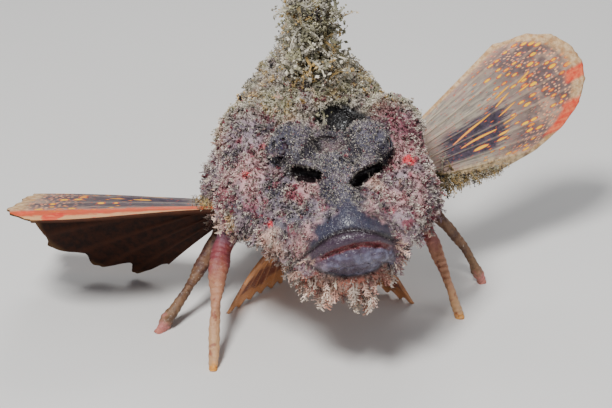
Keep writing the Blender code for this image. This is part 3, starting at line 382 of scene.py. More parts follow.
def station(y):
    """Half width, top, bottom, squareness and taper of the plain body at distances behind the snout."""
    ys = BODY_STATIONS[:, 0]
    y = np.clip(np.asarray(y, dtype=float), ys[0], ys[-1])
    i = np.clip(np.searchsorted(ys, y, side="right") - 1, 0, len(ys) - 2)
    before, after = np.maximum(i - 1, 0), np.minimum(i + 2, len(ys) - 1)
    span = ys[i + 1] - ys[i]
    t = ((y - ys[i]) / span)[..., None]
    table = BODY_STATIONS[:, 1:]
    start, end = table[i], table[i + 1]
    slope_start = (end - table[before]) / (ys[i + 1] - ys[before])[..., None] * span[..., None]
    slope_end = (table[after] - start) / (ys[after] - ys[i])[..., None] * span[..., None]
    values = start * (2 * t**3 - 3 * t**2 + 1) + slope_start * (t**3 - 2 * t**2 + t)
    return values + end * (3 * t**2 - 2 * t**3) + slope_end * (t**3 - t**2)


def curve_lookup(table, k):
    """The same cubic reading for a short table of pairs."""
    xs, ys = np.array(table).T
    k = np.clip(np.asarray(k, dtype=float), xs[0], xs[-1])
    i = np.clip(np.searchsorted(xs, k, side="right") - 1, 0, len(xs) - 2)
    before, after = np.maximum(i - 1, 0), np.minimum(i + 2, len(xs) - 1)
    span = xs[i + 1] - xs[i]
    t = (k - xs[i]) / span
    slope_start = (ys[i + 1] - ys[before]) / (xs[i + 1] - xs[before]) * span
    slope_end = (ys[after] - ys[i]) / (xs[after] - xs[i]) * span
    values = ys[i] * (2 * t**3 - 3 * t**2 + 1) + slope_start * (t**3 - 2 * t**2 + t)
    return values + ys[i + 1] * (3 * t**2 - 2 * t**3) + slope_end * (t**3 - t**2)


def plain_body():
    """The lofted hull of head, trunk and tail before the features are added."""
    rings = int(BODY_LENGTH / RING_STEP) + 1
    angle = 2 * np.pi * np.arange(RING_POINTS) / RING_POINTS
    c, s = np.cos(angle), np.sin(angle)
    points, faces = [], []
    for y in BODY_LENGTH * np.arange(rings) / (rings - 1):
        half, top, bottom, power, taper = station(y)
        x = half * np.copysign(np.abs(c) ** (2 / power), c) * (1 - taper * np.maximum(-s, 0.0))
        z = (top + bottom) / 2 + (top - bottom) / 2 * np.copysign(np.abs(s) ** (2 / power), s)
        points += [Vector((a, y, b)) * MM for a, b in zip(x, z)]
    for i in range(rings - 1):
        for j in range(RING_POINTS):
            a, b = i * RING_POINTS + j, i * RING_POINTS + (j + 1) % RING_POINTS
            faces.append((a, b, b + RING_POINTS, a + RING_POINTS))
    faces.append(list(range(RING_POINTS))[::-1])
    faces.append(list(range((rings - 1) * RING_POINTS, rings * RING_POINTS)))
    return form_object("form", points, faces)


def ball(centre, radii, tilt, detail=4):
    """Ellipsoid with half axes in millimetres and a tilt in degrees."""
    bpy.ops.mesh.primitive_ico_sphere_add(subdivisions=detail, radius=1.0)
    obj = bpy.context.object
    turn = Matrix.Rotation(math.radians(tilt[2]), 4, "Z")
    turn @= Matrix.Rotation(math.radians(tilt[1]), 4, "Y")
    turn @= Matrix.Rotation(math.radians(tilt[0]), 4, "X")
    size = Matrix.Diagonal((*(r * MM for r in radii), 1.0))
    obj.data.transform(Matrix.Translation(Vector(centre) * MM) @ turn @ size)
    return obj


def balls(recipes, paired=True):
    """One ellipsoid for each recipe, and its mirror where it is one of a pair beside the middle plane."""
    made = []
    for (x, y, z), radii, tilt in recipes:
        made.append(ball((x, y, z), radii, tilt))
        if x and paired:
            made.append(ball((-x, y, z), radii, (tilt[0], -tilt[1], -tilt[2])))
    return made


def join_into(obj, others):
    """Puts the others' faces into obj's mesh."""
    deselect()
    for other in others:
        other.select_set(True)
    obj.select_set(True)
    bpy.context.view_layer.objects.active = obj
    bpy.ops.object.join()
    return obj


def soften(obj, voxel, times):
    """Makes overlapping shapes one skin and rounds its creases."""
    remesh = obj.modifiers.new("Remesh", "REMESH")
    remesh.mode = "VOXEL"
    remesh.voxel_size = voxel * MM
    smooth = obj.modifiers.new("Smooth", "SMOOTH")
    smooth.factor = 0.5
    smooth.iterations = times
    apply_modifiers(obj)
    return obj


def carve(obj, tools):
    """Cuts each tool out of obj and removes it."""
    for tool in tools:
        cut = obj.modifiers.new("Cut", "BOOLEAN")
        cut.operation = "DIFFERENCE"
        cut.solver = "EXACT"
        cut.object = tool
        apply_modifiers(obj)
        bpy.data.objects.remove(tool)


def slit_height(y, x=0.0):
    """Height of the plane of the mouth's slit at a distance behind the snout."""
    (y0, z0), (y1, z1) = GAPE_FRONT, JAW_HINGE
    return z0 + (z1 - z0) * (y - y0) / (y1 - y0) + x * math.tan(MOUTH_ROLL)


def tube_form(points, radii, sides):
    """Closed round tube in metres on the fish's own axes."""
    rings, faces = [], []
    count = len(points)
    for i, point in enumerate(points):
        ahead = (points[min(i + 1, count - 1)] - points[max(i - 1, 0)]).normalized()
        across = ahead.cross(Vector((0, 0, 1))).normalized()
        over = across.cross(ahead)
        for j in range(sides):
            angle = 2 * math.pi * j / sides
            rings.append(point + (across * math.cos(angle) + over * math.sin(angle)) * radii[i])
    for i in range(count - 1):
        for j in range(sides):
            a, b = i * sides + j, i * sides + (j + 1) % sides
            faces.append((a, b, b + sides, a + sides))
    faces.append(list(range(sides))[::-1])
    faces.append(list(range((count - 1) * sides, count * sides)))
    return form_object("tube", rings, faces)


def lips(form):
    """An upper and a lower roll along the mouth, thinner towards its corners."""
    tree = BVHTree.FromPolygons([v.co for v in form.data.vertices], [p.vertices for p in form.data.polygons])
    heart_y = JAW_HINGE[0] + 1.5
    heart = Vector((0, heart_y, slit_height(heart_y))) * MM
    slope = (JAW_HINGE[1] - GAPE_FRONT[1]) / (JAW_HINGE[0] - GAPE_FRONT[0])
    rolls = {1: ([], []), -1: ([], [])}
    for angle in np.radians(np.linspace(-86, 86, 17)):
        across, ahead = math.sin(angle), -math.cos(angle)
        ray = Vector((across, ahead, ahead * slope + across * math.tan(MOUTH_ROLL))).normalized()
        hit = tree.ray_cast(heart + ray * 60 * MM, -ray)[0]
        radius = LIP_RADIUS * (0.55 + 0.45 * math.cos(angle * 0.8)) * MM
        out = Vector((across, ahead, 0))
        for side, (points, radii) in rolls.items():
            points.append(hit + out * radius * 0.15 + Vector((0, 0, side * radius * 1.05)))
            radii.append(radius)
    return [tube_form(points, radii, 10) for points, radii in rolls.values()]


def turn_snout(obj):
    for vertex in obj.data.vertices:
        vertex.co.x += snout_shift(vertex.co.y / MM) * MM


def gape():
    """The flat wedge of free space between the lips."""
    (front_y, front_z), (hinge_y, hinge_z) = GAPE_FRONT, JAW_HINGE
    outline = (
        (front_y, front_z), (hinge_y, hinge_z), (hinge_y, hinge_z - GAPE_OPEN[1]),
        (front_y, front_z - GAPE_OPEN[0])
    )
    roll = math.tan(MOUTH_ROLL)
    shift = snout_shift(hinge_y)
    slope = (snout_shift(0.0) - shift) / hinge_y
    points = []
    for x in (-GAPE_HALF_WIDTH, GAPE_HALF_WIDTH):
        points += [Vector((shift + slope * (hinge_y - y) + x, y, z + x * roll)) * MM for y, z in outline]
    faces = [(0, 1, 2, 3), (7, 6, 5, 4)] + [(i, i + 4, (i + 1) % 4 + 4, (i + 1) % 4) for i in range(4)]
    return form_object("gape", points, faces)


def eye_ring(side):
    """A ring of skin round an eye."""
    axis = Vector((EYE_AXIS.x * side, EYE_AXIS.y, EYE_AXIS.z))
    centre = Vector(eye_centre(side)) * MM
    bpy.ops.mesh.primitive_torus_add(
        major_segments=32, minor_segments=10, major_radius=2.15 * MM, minor_radius=0.95 * MM
    )
    ring = bpy.context.object
    turn = axis.to_track_quat("Z", "Y").to_matrix().to_4x4()
    ring.data.transform(Matrix.Translation(centre + axis * 2.45 * MM) @ turn)
    return ring


def read_mesh(obj):
    """Places and normals of the vertices and corners of the triangles of a mesh."""
    mesh = obj.data
    places = np.empty(len(mesh.vertices) * 3)
    mesh.vertices.foreach_get("co", places)
    normals = np.empty(len(mesh.vertices) * 3)
    mesh.vertices.foreach_get("normal", normals)
    mesh.calc_loop_triangles()
    corners = np.empty(len(mesh.loop_triangles) * 3, dtype=np.int64)
    mesh.loop_triangles.foreach_get("vertices", corners)
    return places.reshape(-1, 3), normals.reshape(-1, 3), corners.reshape(-1, 3)


def path_distance(points, path):
    """Distance of every point to a line of corners."""
    best = np.full(len(points), 1e9)
    for a, b in zip(np.array(path[:-1], dtype=float), np.array(path[1:], dtype=float)):
        along = b - a
        share = np.clip((points - a) @ along / (along @ along), 0.0, 1.0)
        best = np.minimum(best, norm(points - a - share[:, None] * along, axis=1))
    return best


def across_face(points):
    """Points without their depth along the face's own direction, so that moving the skin changes nothing."""
    way, points = np.array(PIT_WAY), np.array(points, dtype=float)
    return points - (points @ way)[:, None] * way


def inside_ball(points, recipe):
    """How deep points lie in a hollow's ellipsoid: 0 at its middle, 1 on its surface."""
    centre, radii, _ = recipe
    here = points.copy()
    here[:, 0] -= snout_shift(here[:, 1])
    return norm((here - centre) / radii, axis=1)


def pit_frame(pit):
    """Middle, directions and half axes of a pit's ellipsoid."""
    first, last, half, deep = pit
    first, last = np.array(first), np.array(last)
    along = (last - first) / norm(last - first)
    into = np.array(PIT_WAY) - along * (np.array(PIT_WAY) @ along)
    into /= norm(into)
    radii = np.array((norm(last - first) / 2 + 1.0, half, deep))
    return (first + last) / 2 + into * 0.6, np.array((along, np.cross(into, along), into)), radii


def pit_form(pit):
    middle, ways, radii = pit_frame(pit)
    obj = ball((0, 0, 0), radii, (0, 0, 0))
    obj.data.transform(Matrix.Translation(Vector(middle) * MM) @ Matrix(ways.T.tolist()).to_4x4())
    return obj


def inside_pits(points):
    """For the nearest pit of the face: 0 at its middle and 1 on its surface, and how far in a point lies."""
    frames = [pit_frame(pit) for pit in FACE_PITS]
    here = np.array([(points - middle) @ ways.T / radii for middle, ways, radii in frames])
    away = norm(here, axis=2)
    nearest = away.argmin(axis=0)
    return away.min(axis=0), here[nearest, np.arange(len(points)), 2]


def mouth_bend(points):
    """How far the mouth is lifted in its middle and drawn down at its corners."""
    x, y, z = points.T
    middle = x - snout_shift(y)
    arch = 0.9 - 0.0145 * (np.clip(middle, -13.0, 13.0) - 1.5) ** 2 - 0.13 * np.clip(middle - 2.0, 0.0, 11.0)
    share = np.exp(-(((z - slit_height(y, middle)) / 6.0) ** 2))
    return arch * share * ramp(y, 18.0, 10.0) * ramp(np.abs(middle), 17.0, 12.5)


def zones(points):
    """Weights from 0 to 1 of the kinds of skin at points in millimetres."""
    x, y, z = points.T
    middle = x - snout_shift(y)
    aside = np.abs(middle)
    _, top, bottom, _, _ = station(y).T
    uneven = noise_field(points, 1.5, 8) - 0.5
    over_slit = z - slit_height(y, middle) - mouth_bend(points)
    lip_front = 14.0 - np.sqrt(np.maximum(14.5**2 - np.minimum(aside, 13.5) ** 2, 4.0))
    mouth_side = ramp(aside + 2.0 * uneven, 13.4, 11.0) * ramp(y - lip_front, 9.0, 6.5)
    upper_edge = np.interp(x, *np.array(UPPER_GROOVE)[:, [0, 2]].T)
    lower_edge = np.interp(x, *np.array(LOWER_GROOVE)[:, [0, 2]].T)
    upper_lip = ramp(over_slit, -0.3, 0.3) * ramp(z - upper_edge, 0.3, -0.2) * mouth_side
    lower_lip = ramp(z - lower_edge + 0.8 * uneven, -0.6, 0.2) * ramp(over_slit, 0.3, -0.3) * mouth_side
    inside = ramp(np.abs(over_slit + 0.6), 1.2, 0.9) * ramp(y - lip_front, 1.2, 2.4) * ramp(y, 15.0, 13.0)
    inside = inside * ramp(aside, 13.0, 12.0)
    rim = ramp(np.abs(over_slit + 0.6 + 0.4 * uneven), 1.0, 0.7) * ramp(aside + 3 * uneven, 12.0, 8.0)
    rim = rim * ramp(y - lip_front, 7.0, 5.0)
    band = ramp(z - upper_edge + uneven, 2.0, 1.2) * ramp(aside, 13.0, 10.5)
    band = band * np.where(middle > 0, ramp(y - lip_front + uneven, 3.4, 2.4), 1.0)
    triangle = ramp((57.6 - z) * 1.3 - np.abs(middle + 0.2) + 1.6 * uneven, -0.6, 1.0)
    triangle = triangle * ramp(aside + 2.4 * uneven, 11.5, 8.5)
    triangle = np.maximum(triangle, band) * ramp(y, 15.0, 11.5) * ramp(z - upper_edge, -0.2, 0.2)
    knob = ramp(norm(np.column_stack([aside - 10.2, y - 31.5, z - 63.0]), axis=1), 9.4, 7.8)
    ridge = ramp(aside + 2 * uneven, 7.0, 4.8) * ramp(z, 53.5, 55.5) * ramp(y, 34.0, 30.0)
    bridge = ramp(aside, 12.0, 9.0) * ramp(y, 26.0, 29.0) * ramp(y, 42.0, 39.0) * ramp(z, 56.0, 59.0)
    folded = np.column_stack([aside, y, z])
    brow = ramp(path_distance(folded, ((12.6, 27.0, 61.5), (8.4, 21.5, 62.4), (4.2, 15.0, 60.6))), 4.2, 2.8)
    face = np.maximum(np.maximum(knob, ridge), np.maximum(bridge, brow * ramp(z, 58.0, 59.4)))
    away, depth = inside_pits(points)
    pits = ramp(away + 0.25 * uneven, 1.24, 1.02)
    pit_core = pits * ramp(depth, -0.15, 0.30)
    dip = ramp(inside_ball(points, BETWEEN_EYES), 1.2, 0.9)
    deep = ramp(inside_ball(points, HOLLOW_FLOOR_SHADE) + 0.3 * uneven, 1.22, 0.9)
    flat, near = across_face(points), ramp(y, 44.0, 40.0)
    shade, dent = np.zeros(len(points)), np.zeros(len(points))
    for path, radius, depth_in, darkness in SHADES:
        share = near * np.exp(-((path_distance(flat, across_face(path)) / radius) ** 2))
        shade, dent = np.maximum(shade, darkness * share), np.maximum(dent, depth_in * share)
    groove = np.exp(-((path_distance(flat, across_face(UPPER_GROOVE)) / 0.75) ** 2))
    groove = np.maximum(groove, 0.8 * np.exp(-((path_distance(flat, across_face(LOWER_GROOVE)) / 0.8) ** 2)))
    pit_core = np.maximum(pit_core, deep)
    height = (z - bottom) / (top - bottom)
    back = ramp(y, 40.0, 50.0) * ramp(height, 0.62, 0.82)
    below = ramp(height, 0.26, 0.12) * ramp(y, 16.0, 26.0)
    trunk = ramp(y, 58.0, 72.0)
    fringe = ramp(z, 41.0, 34.0) * ramp(y, 62.0, 50.0) * (1 - below)
    smooth = np.maximum(np.maximum(upper_lip, lower_lip), triangle)
    return dict(
        upper_lip=upper_lip, lower_lip=lower_lip, inside=inside, rim=rim, triangle=triangle, face=face,
        pits=pits,
        pit_core=pit_core, deep=deep, shade=shade, dent=dent, groove=groove * ramp(y, 16.0, 12.0),
        dip=dip, back=back, below=below, trunk=trunk, fringe=fringe, smooth=smooth,
    )


def mix(first, second, share):
    return first + (np.asarray(second) - first) * np.asarray(share)[:, None]


def skin_colours(points, zone):
    """The fish's markings at points in millimetres."""
    tones = bpy.context.scene.devilfish_colours
    broad, patchy = noise_field(points, 7.0, 1), noise_field(points, 3.2, 2)
    fine, tiny = noise_field(points, 1.1, 3), noise_field(points, 0.8, 9)
    colour = mix(np.tile(tones.mauve, (len(points), 1)), tones.pink, ramp(broad + 0.5 * patchy, 0.68, 1.0))
    colour = mix(colour, tones.grey, 0.75 * ramp(noise_field(points, 5.0, 4), 0.5, 0.75))
    olive = mix(np.tile(tones.olive, (len(points), 1)), tones.sand, 0.7 * ramp(patchy, 0.3, 0.65))
    olive = mix(olive, tones.mauve, 0.5 * ramp(broad, 0.5, 0.75))
    olive = mix(olive, tones.ochre, 0.5 * ramp(noise_field(points, 4.0, 10), 0.55, 0.75))
    colour = mix(colour, olive, np.maximum(zone["back"], 0.55 * zone["trunk"]))
    for name, middle, radius, strength in PATCHES:
        away = norm(points - middle, axis=1) + 0.9 * radius * (patchy - 0.5) + 0.5 * (fine - 0.5)
        colour = mix(colour, getattr(tones, name), strength * ramp(away, radius, radius * 0.45))
    colour = mix(colour, tones.wine, 0.85 * ramp(patchy + 0.4 * fine, 0.86, 1.0) * (1 - 0.6 * zone["back"]))
    colour = mix(colour, tones.orange, 0.5 * zone["fringe"] * ramp(patchy, 0.3, 0.6))
    colour = mix(colour, tones.belly, zone["below"])
    colour = mix(colour, tones.grey, 0.9 * zone["face"])
    colour = mix(colour, tones.violet, np.maximum(zone["triangle"],
        0.8 * zone["face"] * ramp(patchy + 0.3 * fine, 0.5, 0.8)))
    colour = mix(colour, tones.pink, 0.35 * zone["dip"])
    # Painted shade darkens the hollow between the eyes over its pinkish floor.
    colour = mix(colour, np.array(tones.umber_and_shade) * 1.5, 0.55 * zone["dip"])
    # Painted shade in the dents beside the eye knobs, the ridge and the brows.
    colour = mix(colour, np.array(tones.umber_and_shade) * 0.7, zone["shade"])
    colour = mix(colour, tones.plum, zone["upper_lip"])
    colour = mix(colour, tones.lavender, zone["lower_lip"])
    colour = mix(colour, tones.pink, 0.55 * zone["lower_lip"]
        * ramp(points[:, 0] + 3 * (fine - 0.5), -2.0, -7.0))
    # Darker plum bands run along the lower lip, and paler lavender streaks run with them as painted
    # highlights of the wet lip.
    streaks = noise_field(points * (0.35, 1.0, 1.7), 1.3, 14)
    colour = mix(colour, np.array(tones.plum) * 1.1, 0.75 * zone["lower_lip"] * ramp(streaks, 0.42, 0.62))
    colour = mix(colour, np.array(tones.lavender) * 1.5, 0.6 * zone["lower_lip"] * ramp(streaks, 0.34, 0.22))
    folds = ramp(lip_folds(points), 0.1, -0.8) * zone["lower_lip"]
    colour = mix(colour, tones.plum, 0.45 * folds + 0.3 * zone["smooth"] * ramp(tiny, 0.5, 0.8))
    colour = mix(colour, tones.mouth, np.maximum(zone["inside"], 0.9 * zone["rim"]))
    # Painted shade darkens the grooves over and under the lips.
    colour = mix(colour, np.array(tones.umber_and_shade) * 0.5, 0.95 * zone["groove"])
    for fold in CORNER_FOLDS:
        colour = mix(colour, tones.wine, 0.6 * np.exp(-((path_distance(points, fold) / 0.6) ** 2)))
    # The pits: their own dark skin, with painted shade over it that is darkest in their cores.
    colour = mix(colour, np.array(tones.umber_and_shade) * 1.3, 0.85 * zone["pits"])
    colour = mix(colour, np.array(tones.umber_and_shade) * 0.7, zone["pit_core"])
    # Painted shade: the floor of the hollow behind the eyes is painted near black.
    colour = mix(colour, np.array(tones.umber_and_shade) * 0.12, zone["deep"])
    return colour


def lip_folds(points):
    """Uneven waves across the lips, from -1 in a fold to 1 between folds."""
    return np.sin(points[:, 0] * 1.9 + 9.0 * noise_field(points, 3.4, 7) + 0.7 * points[:, 2])


def sculpt(points, normals, zone):
    """Moves the skin's points for grooves, folds, lumps and small wrinkles."""
    offset = -1.0 * np.exp(-((path_distance(points, UPPER_GROOVE) / 0.6) ** 2))
    offset -= 0.7 * np.exp(-((path_distance(points, LOWER_GROOVE) / 0.6) ** 2))
    for fold in CORNER_FOLDS:
        offset -= 0.6 * np.exp(-((path_distance(points, fold) / 0.45) ** 2))
    offset -= zone["dent"]
    lumpy = (1 - zone["smooth"]) * (1 - 0.7 * np.maximum(zone["pits"], zone["pit_core"]))
    offset += lumpy * (1 - 0.5 * zone["face"]) * 1.5 * (noise_field(points, 3.4, 5) - 0.5)
    offset += lumpy * 0.8 * (noise_field(points, 1.7, 6) - 0.5)
    offset += lumpy * zone["face"] * 0.5 * (noise_field(points, 1.0, 11) - 0.5)
    offset += 0.16 * zone["lower_lip"] * lip_folds(points) + 0.10 * zone["smooth"] * (
        noise_field(points, 1.2, 12) - 0.5)
    keep = 1 - zone["inside"]
    return points + normals * (offset * keep)[:, None]


def unwrap(points):
    """Flattens the skin by its turn round the body's middle line and its distance behind the snout."""
    x, y, z = points.T
    _, top, bottom, _, _ = station(y).T
    turn = np.arctan2(x - snout_shift(y), z - (top + bottom) / 2)
    back = np.clip((y + 8.0) / (BODY_LENGTH + 12.0), 0.0, 1.0) ** 0.6
    return np.column_stack([0.5 + turn / (2 * np.pi) * 0.98, 0.01 + 0.98 * back])


class Skin:
    """The finished skin, from which the coat's roots are drawn."""

    def __init__(self, obj):
        places, self.normals, self.corners = read_mesh(obj)
        self.points = (places - SHIFT) / MM
        a, b, c = (self.points[self.corners[:, i]] for i in range(3))
        self.areas = norm(np.cross(b - a, c - a), axis=1) / 2
        self.zone = zones(self.points)
        self.colours = skin_colours(self.points, self.zone)

    def draw(self, density, count, seed):
        """Roots of count tufts, spread by a weight for every vertex."""
        rng = np.random.default_rng(seed)
        weight = self.areas * density[self.corners].mean(axis=1)
        chosen = rng.choice(len(weight), size=count, p=weight / weight.sum())
        share = rng.dirichlet((1, 1, 1), size=count)[:, :, None]
        corners = self.corners[chosen]
        spots = (self.points[corners] * share).sum(axis=1)
        ways = (self.normals[corners] * share).sum(axis=1)
        ways /= norm(ways, axis=1)[:, None]
        return rng, spots, ways, (self.colours[corners] * share).sum(axis=1)


def joined(parts):
    """Several pairs of points and triangles as one."""
    starts = np.cumsum([0] + [len(points) for points, _ in parts[:-1]])
    points = np.concatenate([points for points, _ in parts])
    return points, np.concatenate([faces + start for (_, faces), start in zip(parts, starts)])


OCTAHEDRON = np.array(((1, 0, 0), (-1, 0, 0), (0, 1, 0), (0, -1, 0), (0, 0, 1), (0, 0, -1)), dtype=float)
OCTAHEDRON_FACES = np.array(((0, 2, 4), (2, 1, 4), (1, 3, 4), (3, 0, 4), (2, 0, 5), (1, 2, 5), (3, 1, 5),
    (0, 3, 5)))


def papilla_shapes(seed, lobes, count=5):
    """Small branching papillae of unit height: a stalk with blunt lobes round its top."""
    rng = np.random.default_rng(seed)
    made = []
    for _ in range(count):
        bpy.ops.mesh.primitive_cone_add(
            vertices=4, radius1=0.22 * MM, radius2=0.11 * MM, depth=0.85 * MM, location=(0, 0, 0),
            end_fill_type="NOTHING"
        )
        stalk = bpy.context.object
        stalk.data.transform(Matrix.Translation((0, 0, 0.25 * MM)))
        places, _, corners = read_mesh(stalk)
        bpy.data.objects.remove(stalk)
        parts = [(places / MM, corners)]
        for i in range(lobes):
            turn = 2 * math.pi * i / lobes + rng.uniform(-0.5, 0.5)
            reach, size = rng.uniform(0.12, 0.46), rng.uniform(0.07, 0.15)
            middle = np.array((reach * math.cos(turn), reach * math.sin(turn), rng.uniform(0.45, 1.0)))
            radii = size * rng.uniform(0.7, 1.3, 3) * (1, 1, 1.4)
            parts.append((OCTAHEDRON * radii + middle, OCTAHEDRON_FACES))
        points, faces = joined(parts)
        made.append(dict(points=points, faces=faces, tip=ramp(points[:, 2], 0.3, 0.9)))
    return made


def grain_shapes(seed):
    """Grains of sand of unit width with uneven corners."""
    rng = np.random.default_rng(seed)
    made = []
    for _ in range(4):
        points = OCTAHEDRON * 0.5 * rng.uniform(0.7, 1.25, (6, 1)) + rng.uniform(-0.12, 0.12, (6, 3))
        made.append(dict(points=points, faces=OCTAHEDRON_FACES, tip=np.ones(6)))
    return made


PROFILES = {
    5: ((0.5, 0.0), (0.2, 0.5), (-0.2, 0.5), (-0.5, 0.0), (0.0, -0.5)),
    3: ((0.5, -0.3), (0.0, 0.6), (-0.5, -0.3)),
}


def blade(points, widths, thickness, flat, sides=3):
    """Closed leaf through points, which ends in a point: arrays of points and faces."""
    points = np.array(points, dtype=float)
    rings = []
    for i in range(len(points) - 1):
        ahead = points[i + 1] - points[i]
        ahead /= norm(ahead)
        across = flat - ahead * (flat @ ahead)
        across /= norm(across)
        over = np.cross(ahead, across)
        rings += [points[i] + across * a * widths[i] + over * b * thickness for a, b in PROFILES[sides]]
    count = len(points) - 1
    faces = [(0, i + 1, i) for i in range(1, sides - 1)]
    for i in range(count - 1):
        for j in range(sides):
            a, b = i * sides + j, i * sides + (j + 1) % sides
            faces += [(a, b, b + sides), (a, b + sides, a + sides)]
    tip, last = len(rings), (count - 1) * sides
    faces += [(last + j, last + (j + 1) % sides, tip) for j in range(sides)]
    rings.append(points[-1])
    return np.array(rings), np.array(faces)


def tassel_shapes(seed, leaflets, ragged, bend, count=4, width=0.13):
    """Branched skin flaps of unit length: a bent stem, leaflets to its sides and small points on those."""
    rng = np.random.default_rng(seed)
    made = []
    for _ in range(count):
        parts, flat = [], np.array((1.0, 0.0, 0.0))
        sway = rng.uniform(-0.15, 0.15)

        def stem(t):
            return np.array((sway * t * t, -bend * t * t, t - 0.25 * bend * t * t - 0.06))

        widths = np.array((1.0, 0.95, 0.8, 0.55)) * width
        parts.append(blade([stem(t) for t in (0, 0.25, 0.5, 0.75, 1.0)], widths, 0.06, flat, 5))
        for i in range(leaflets):
            t = 0.15 + 0.8 * (i + rng.uniform(0, 0.5)) / leaflets
            side = 1 if i % 2 else -1
            root = stem(t)
            way = np.array((side * rng.uniform(0.5, 1.0), rng.uniform(-0.5, 0.5), rng.uniform(0.3, 0.9)))
            way /= norm(way)
            reach = rng.uniform(0.22, 0.42) * (1.15 - 0.55 * t)
            middle = root + way * reach * 0.5 + rng.uniform(-0.03, 0.03, 3)
            end = root + way * reach + rng.uniform(-0.05, 0.05, 3)
            parts.append(blade((root, middle, end), (0.05, 0.065), 0.045, np.array((-way[2], 0.2, way[0]))))
            for _ in range(ragged):
                start = root + way * reach * rng.uniform(0.35, 0.8)
                turn = way + rng.uniform(-0.9, 0.9, 3)
                turn /= norm(turn)
                length = reach * rng.uniform(0.3, 0.5)
                corners = (start, start + turn * length * 0.6, start + turn * length)
                parts.append(blade(corners, (0.04, 0.045), 0.04, np.array((0.3, 1.0, 0.2))))
        points, faces = joined(parts)
        away = norm(points * (1.2, 1.0, 1.0), axis=1)
        made.append(dict(points=points, faces=faces, tip=ramp(away, 0.25, 1.0)))
    return made


def ribbon_shapes(seed, knobs, droop, width=0.07, count=6):
    """Ragged ribbons of unit length: a wavy flat stem, overgrown with small knobs."""
    rng = np.random.default_rng(seed)
    made = []
    for _ in range(count):
        sway, turn = rng.uniform(-0.22, 0.22, 2), rng.uniform(0, 6.28, 2)

        def stem(t):
            x = sway[0] * t + 0.09 * math.sin(5.0 * t + turn[0])
            return np.array((x, sway[1] * t - droop * t * t + 0.07 * math.sin(6.0 * t + turn[1]),
                t - 0.35 * droop * t * t))

        widths = np.array((1.1, 1.0, 0.85, 0.95, 0.7, 0.45)) * width * rng.uniform(0.7, 1.35)
        parts = [blade([stem(t) for t in np.linspace(0, 1, 7)], widths, 0.03, np.array((1.0, 0.3, 0.0)))]
        for _ in range(knobs):
            t = rng.uniform(0.05, 1.0)
            middle = stem(t) + rng.normal(0, 1, 3) * (width, 0.7 * width, 0.03)
            radii = width * rng.uniform(0.2, 0.6) * rng.uniform(0.6, 1.6, 3)
            parts.append((OCTAHEDRON * radii + middle, OCTAHEDRON_FACES))
        points, faces = joined(parts)
        made.append(dict(points=points, faces=faces, tip=ramp(points[:, 2]
            + rng.uniform(-0.3, 0.3, len(points)), 0.1, 1.1)))
    return made


def scatter(name, shapes, spots, ways, sizes, colours, rng, lie=None, lean=0.0,
        glow=(1.0, 1.0)):
    """One mesh of many copies of a few shapes, each rooted at its spot and turned its way. glow is the
    range of how pale their tips are."""
    count = len(spots)
    ups = ways + lean * (np.zeros(3) if lie is None else np.asarray(lie, dtype=float))
    ups = ups / norm(ups, axis=1)[:, None]
    helper = np.where(np.abs(ups[:, 2:3]) < 0.9, np.array((0.0, 0.0, 1.0)), np.array((0.0, 1.0, 0.0)))
    across = np.cross(helper, ups)
    across /= norm(across, axis=1)[:, None]
    over = np.cross(ups, across)
    spin = rng.uniform(-np.pi, np.pi, count)[:, None]
    first = across * np.cos(spin) + over * np.sin(spin)
    second = np.cross(ups, first)
    choice = rng.integers(0, len(shapes), count)
    patch = unwrap(spots)
    paleness = rng.uniform(*glow, count)
    points, faces, tips, tints, maps = [], [], [], [], []
    total = 0
    for i, shape in enumerate(shapes):
        here = choice == i
        local = shape["points"][None] * sizes[here][:, None, None]
        grown = (first[here][:, None] * local[..., :1] + second[here][:, None] * local[..., 1:2]
            + ups[here][:, None] * local[..., 2:])
        points.append((spots[here][:, None] + grown).reshape(-1, 3))
        each = len(shape["points"])
        starts = total + each * np.arange(here.sum())
        faces.append((shape["faces"][None] + starts[:, None, None]).reshape(-1, 3))
        total += each * here.sum()
        tips.append((shape["tip"][None] * paleness[here][:, None]).ravel())
        tints.append(np.repeat(colours[here], each, axis=0))
        spread = shape["points"][:, :2] / (np.abs(shape["points"][:, :2]).max() * 2)
        maps.append((patch[here][:, None] + spread[None] * 0.003).reshape(-1, 2))
    obj = mesh_piece(name, np.concatenate(points), np.concatenate(faces))
    put_attribute(obj, "marking", np.concatenate(tints))
    put_attribute(obj, "tip", np.concatenate(tips))
    put_uv(obj, "OFBake", np.concatenate(maps))
    return hand_over(obj, (), [coat_material()])


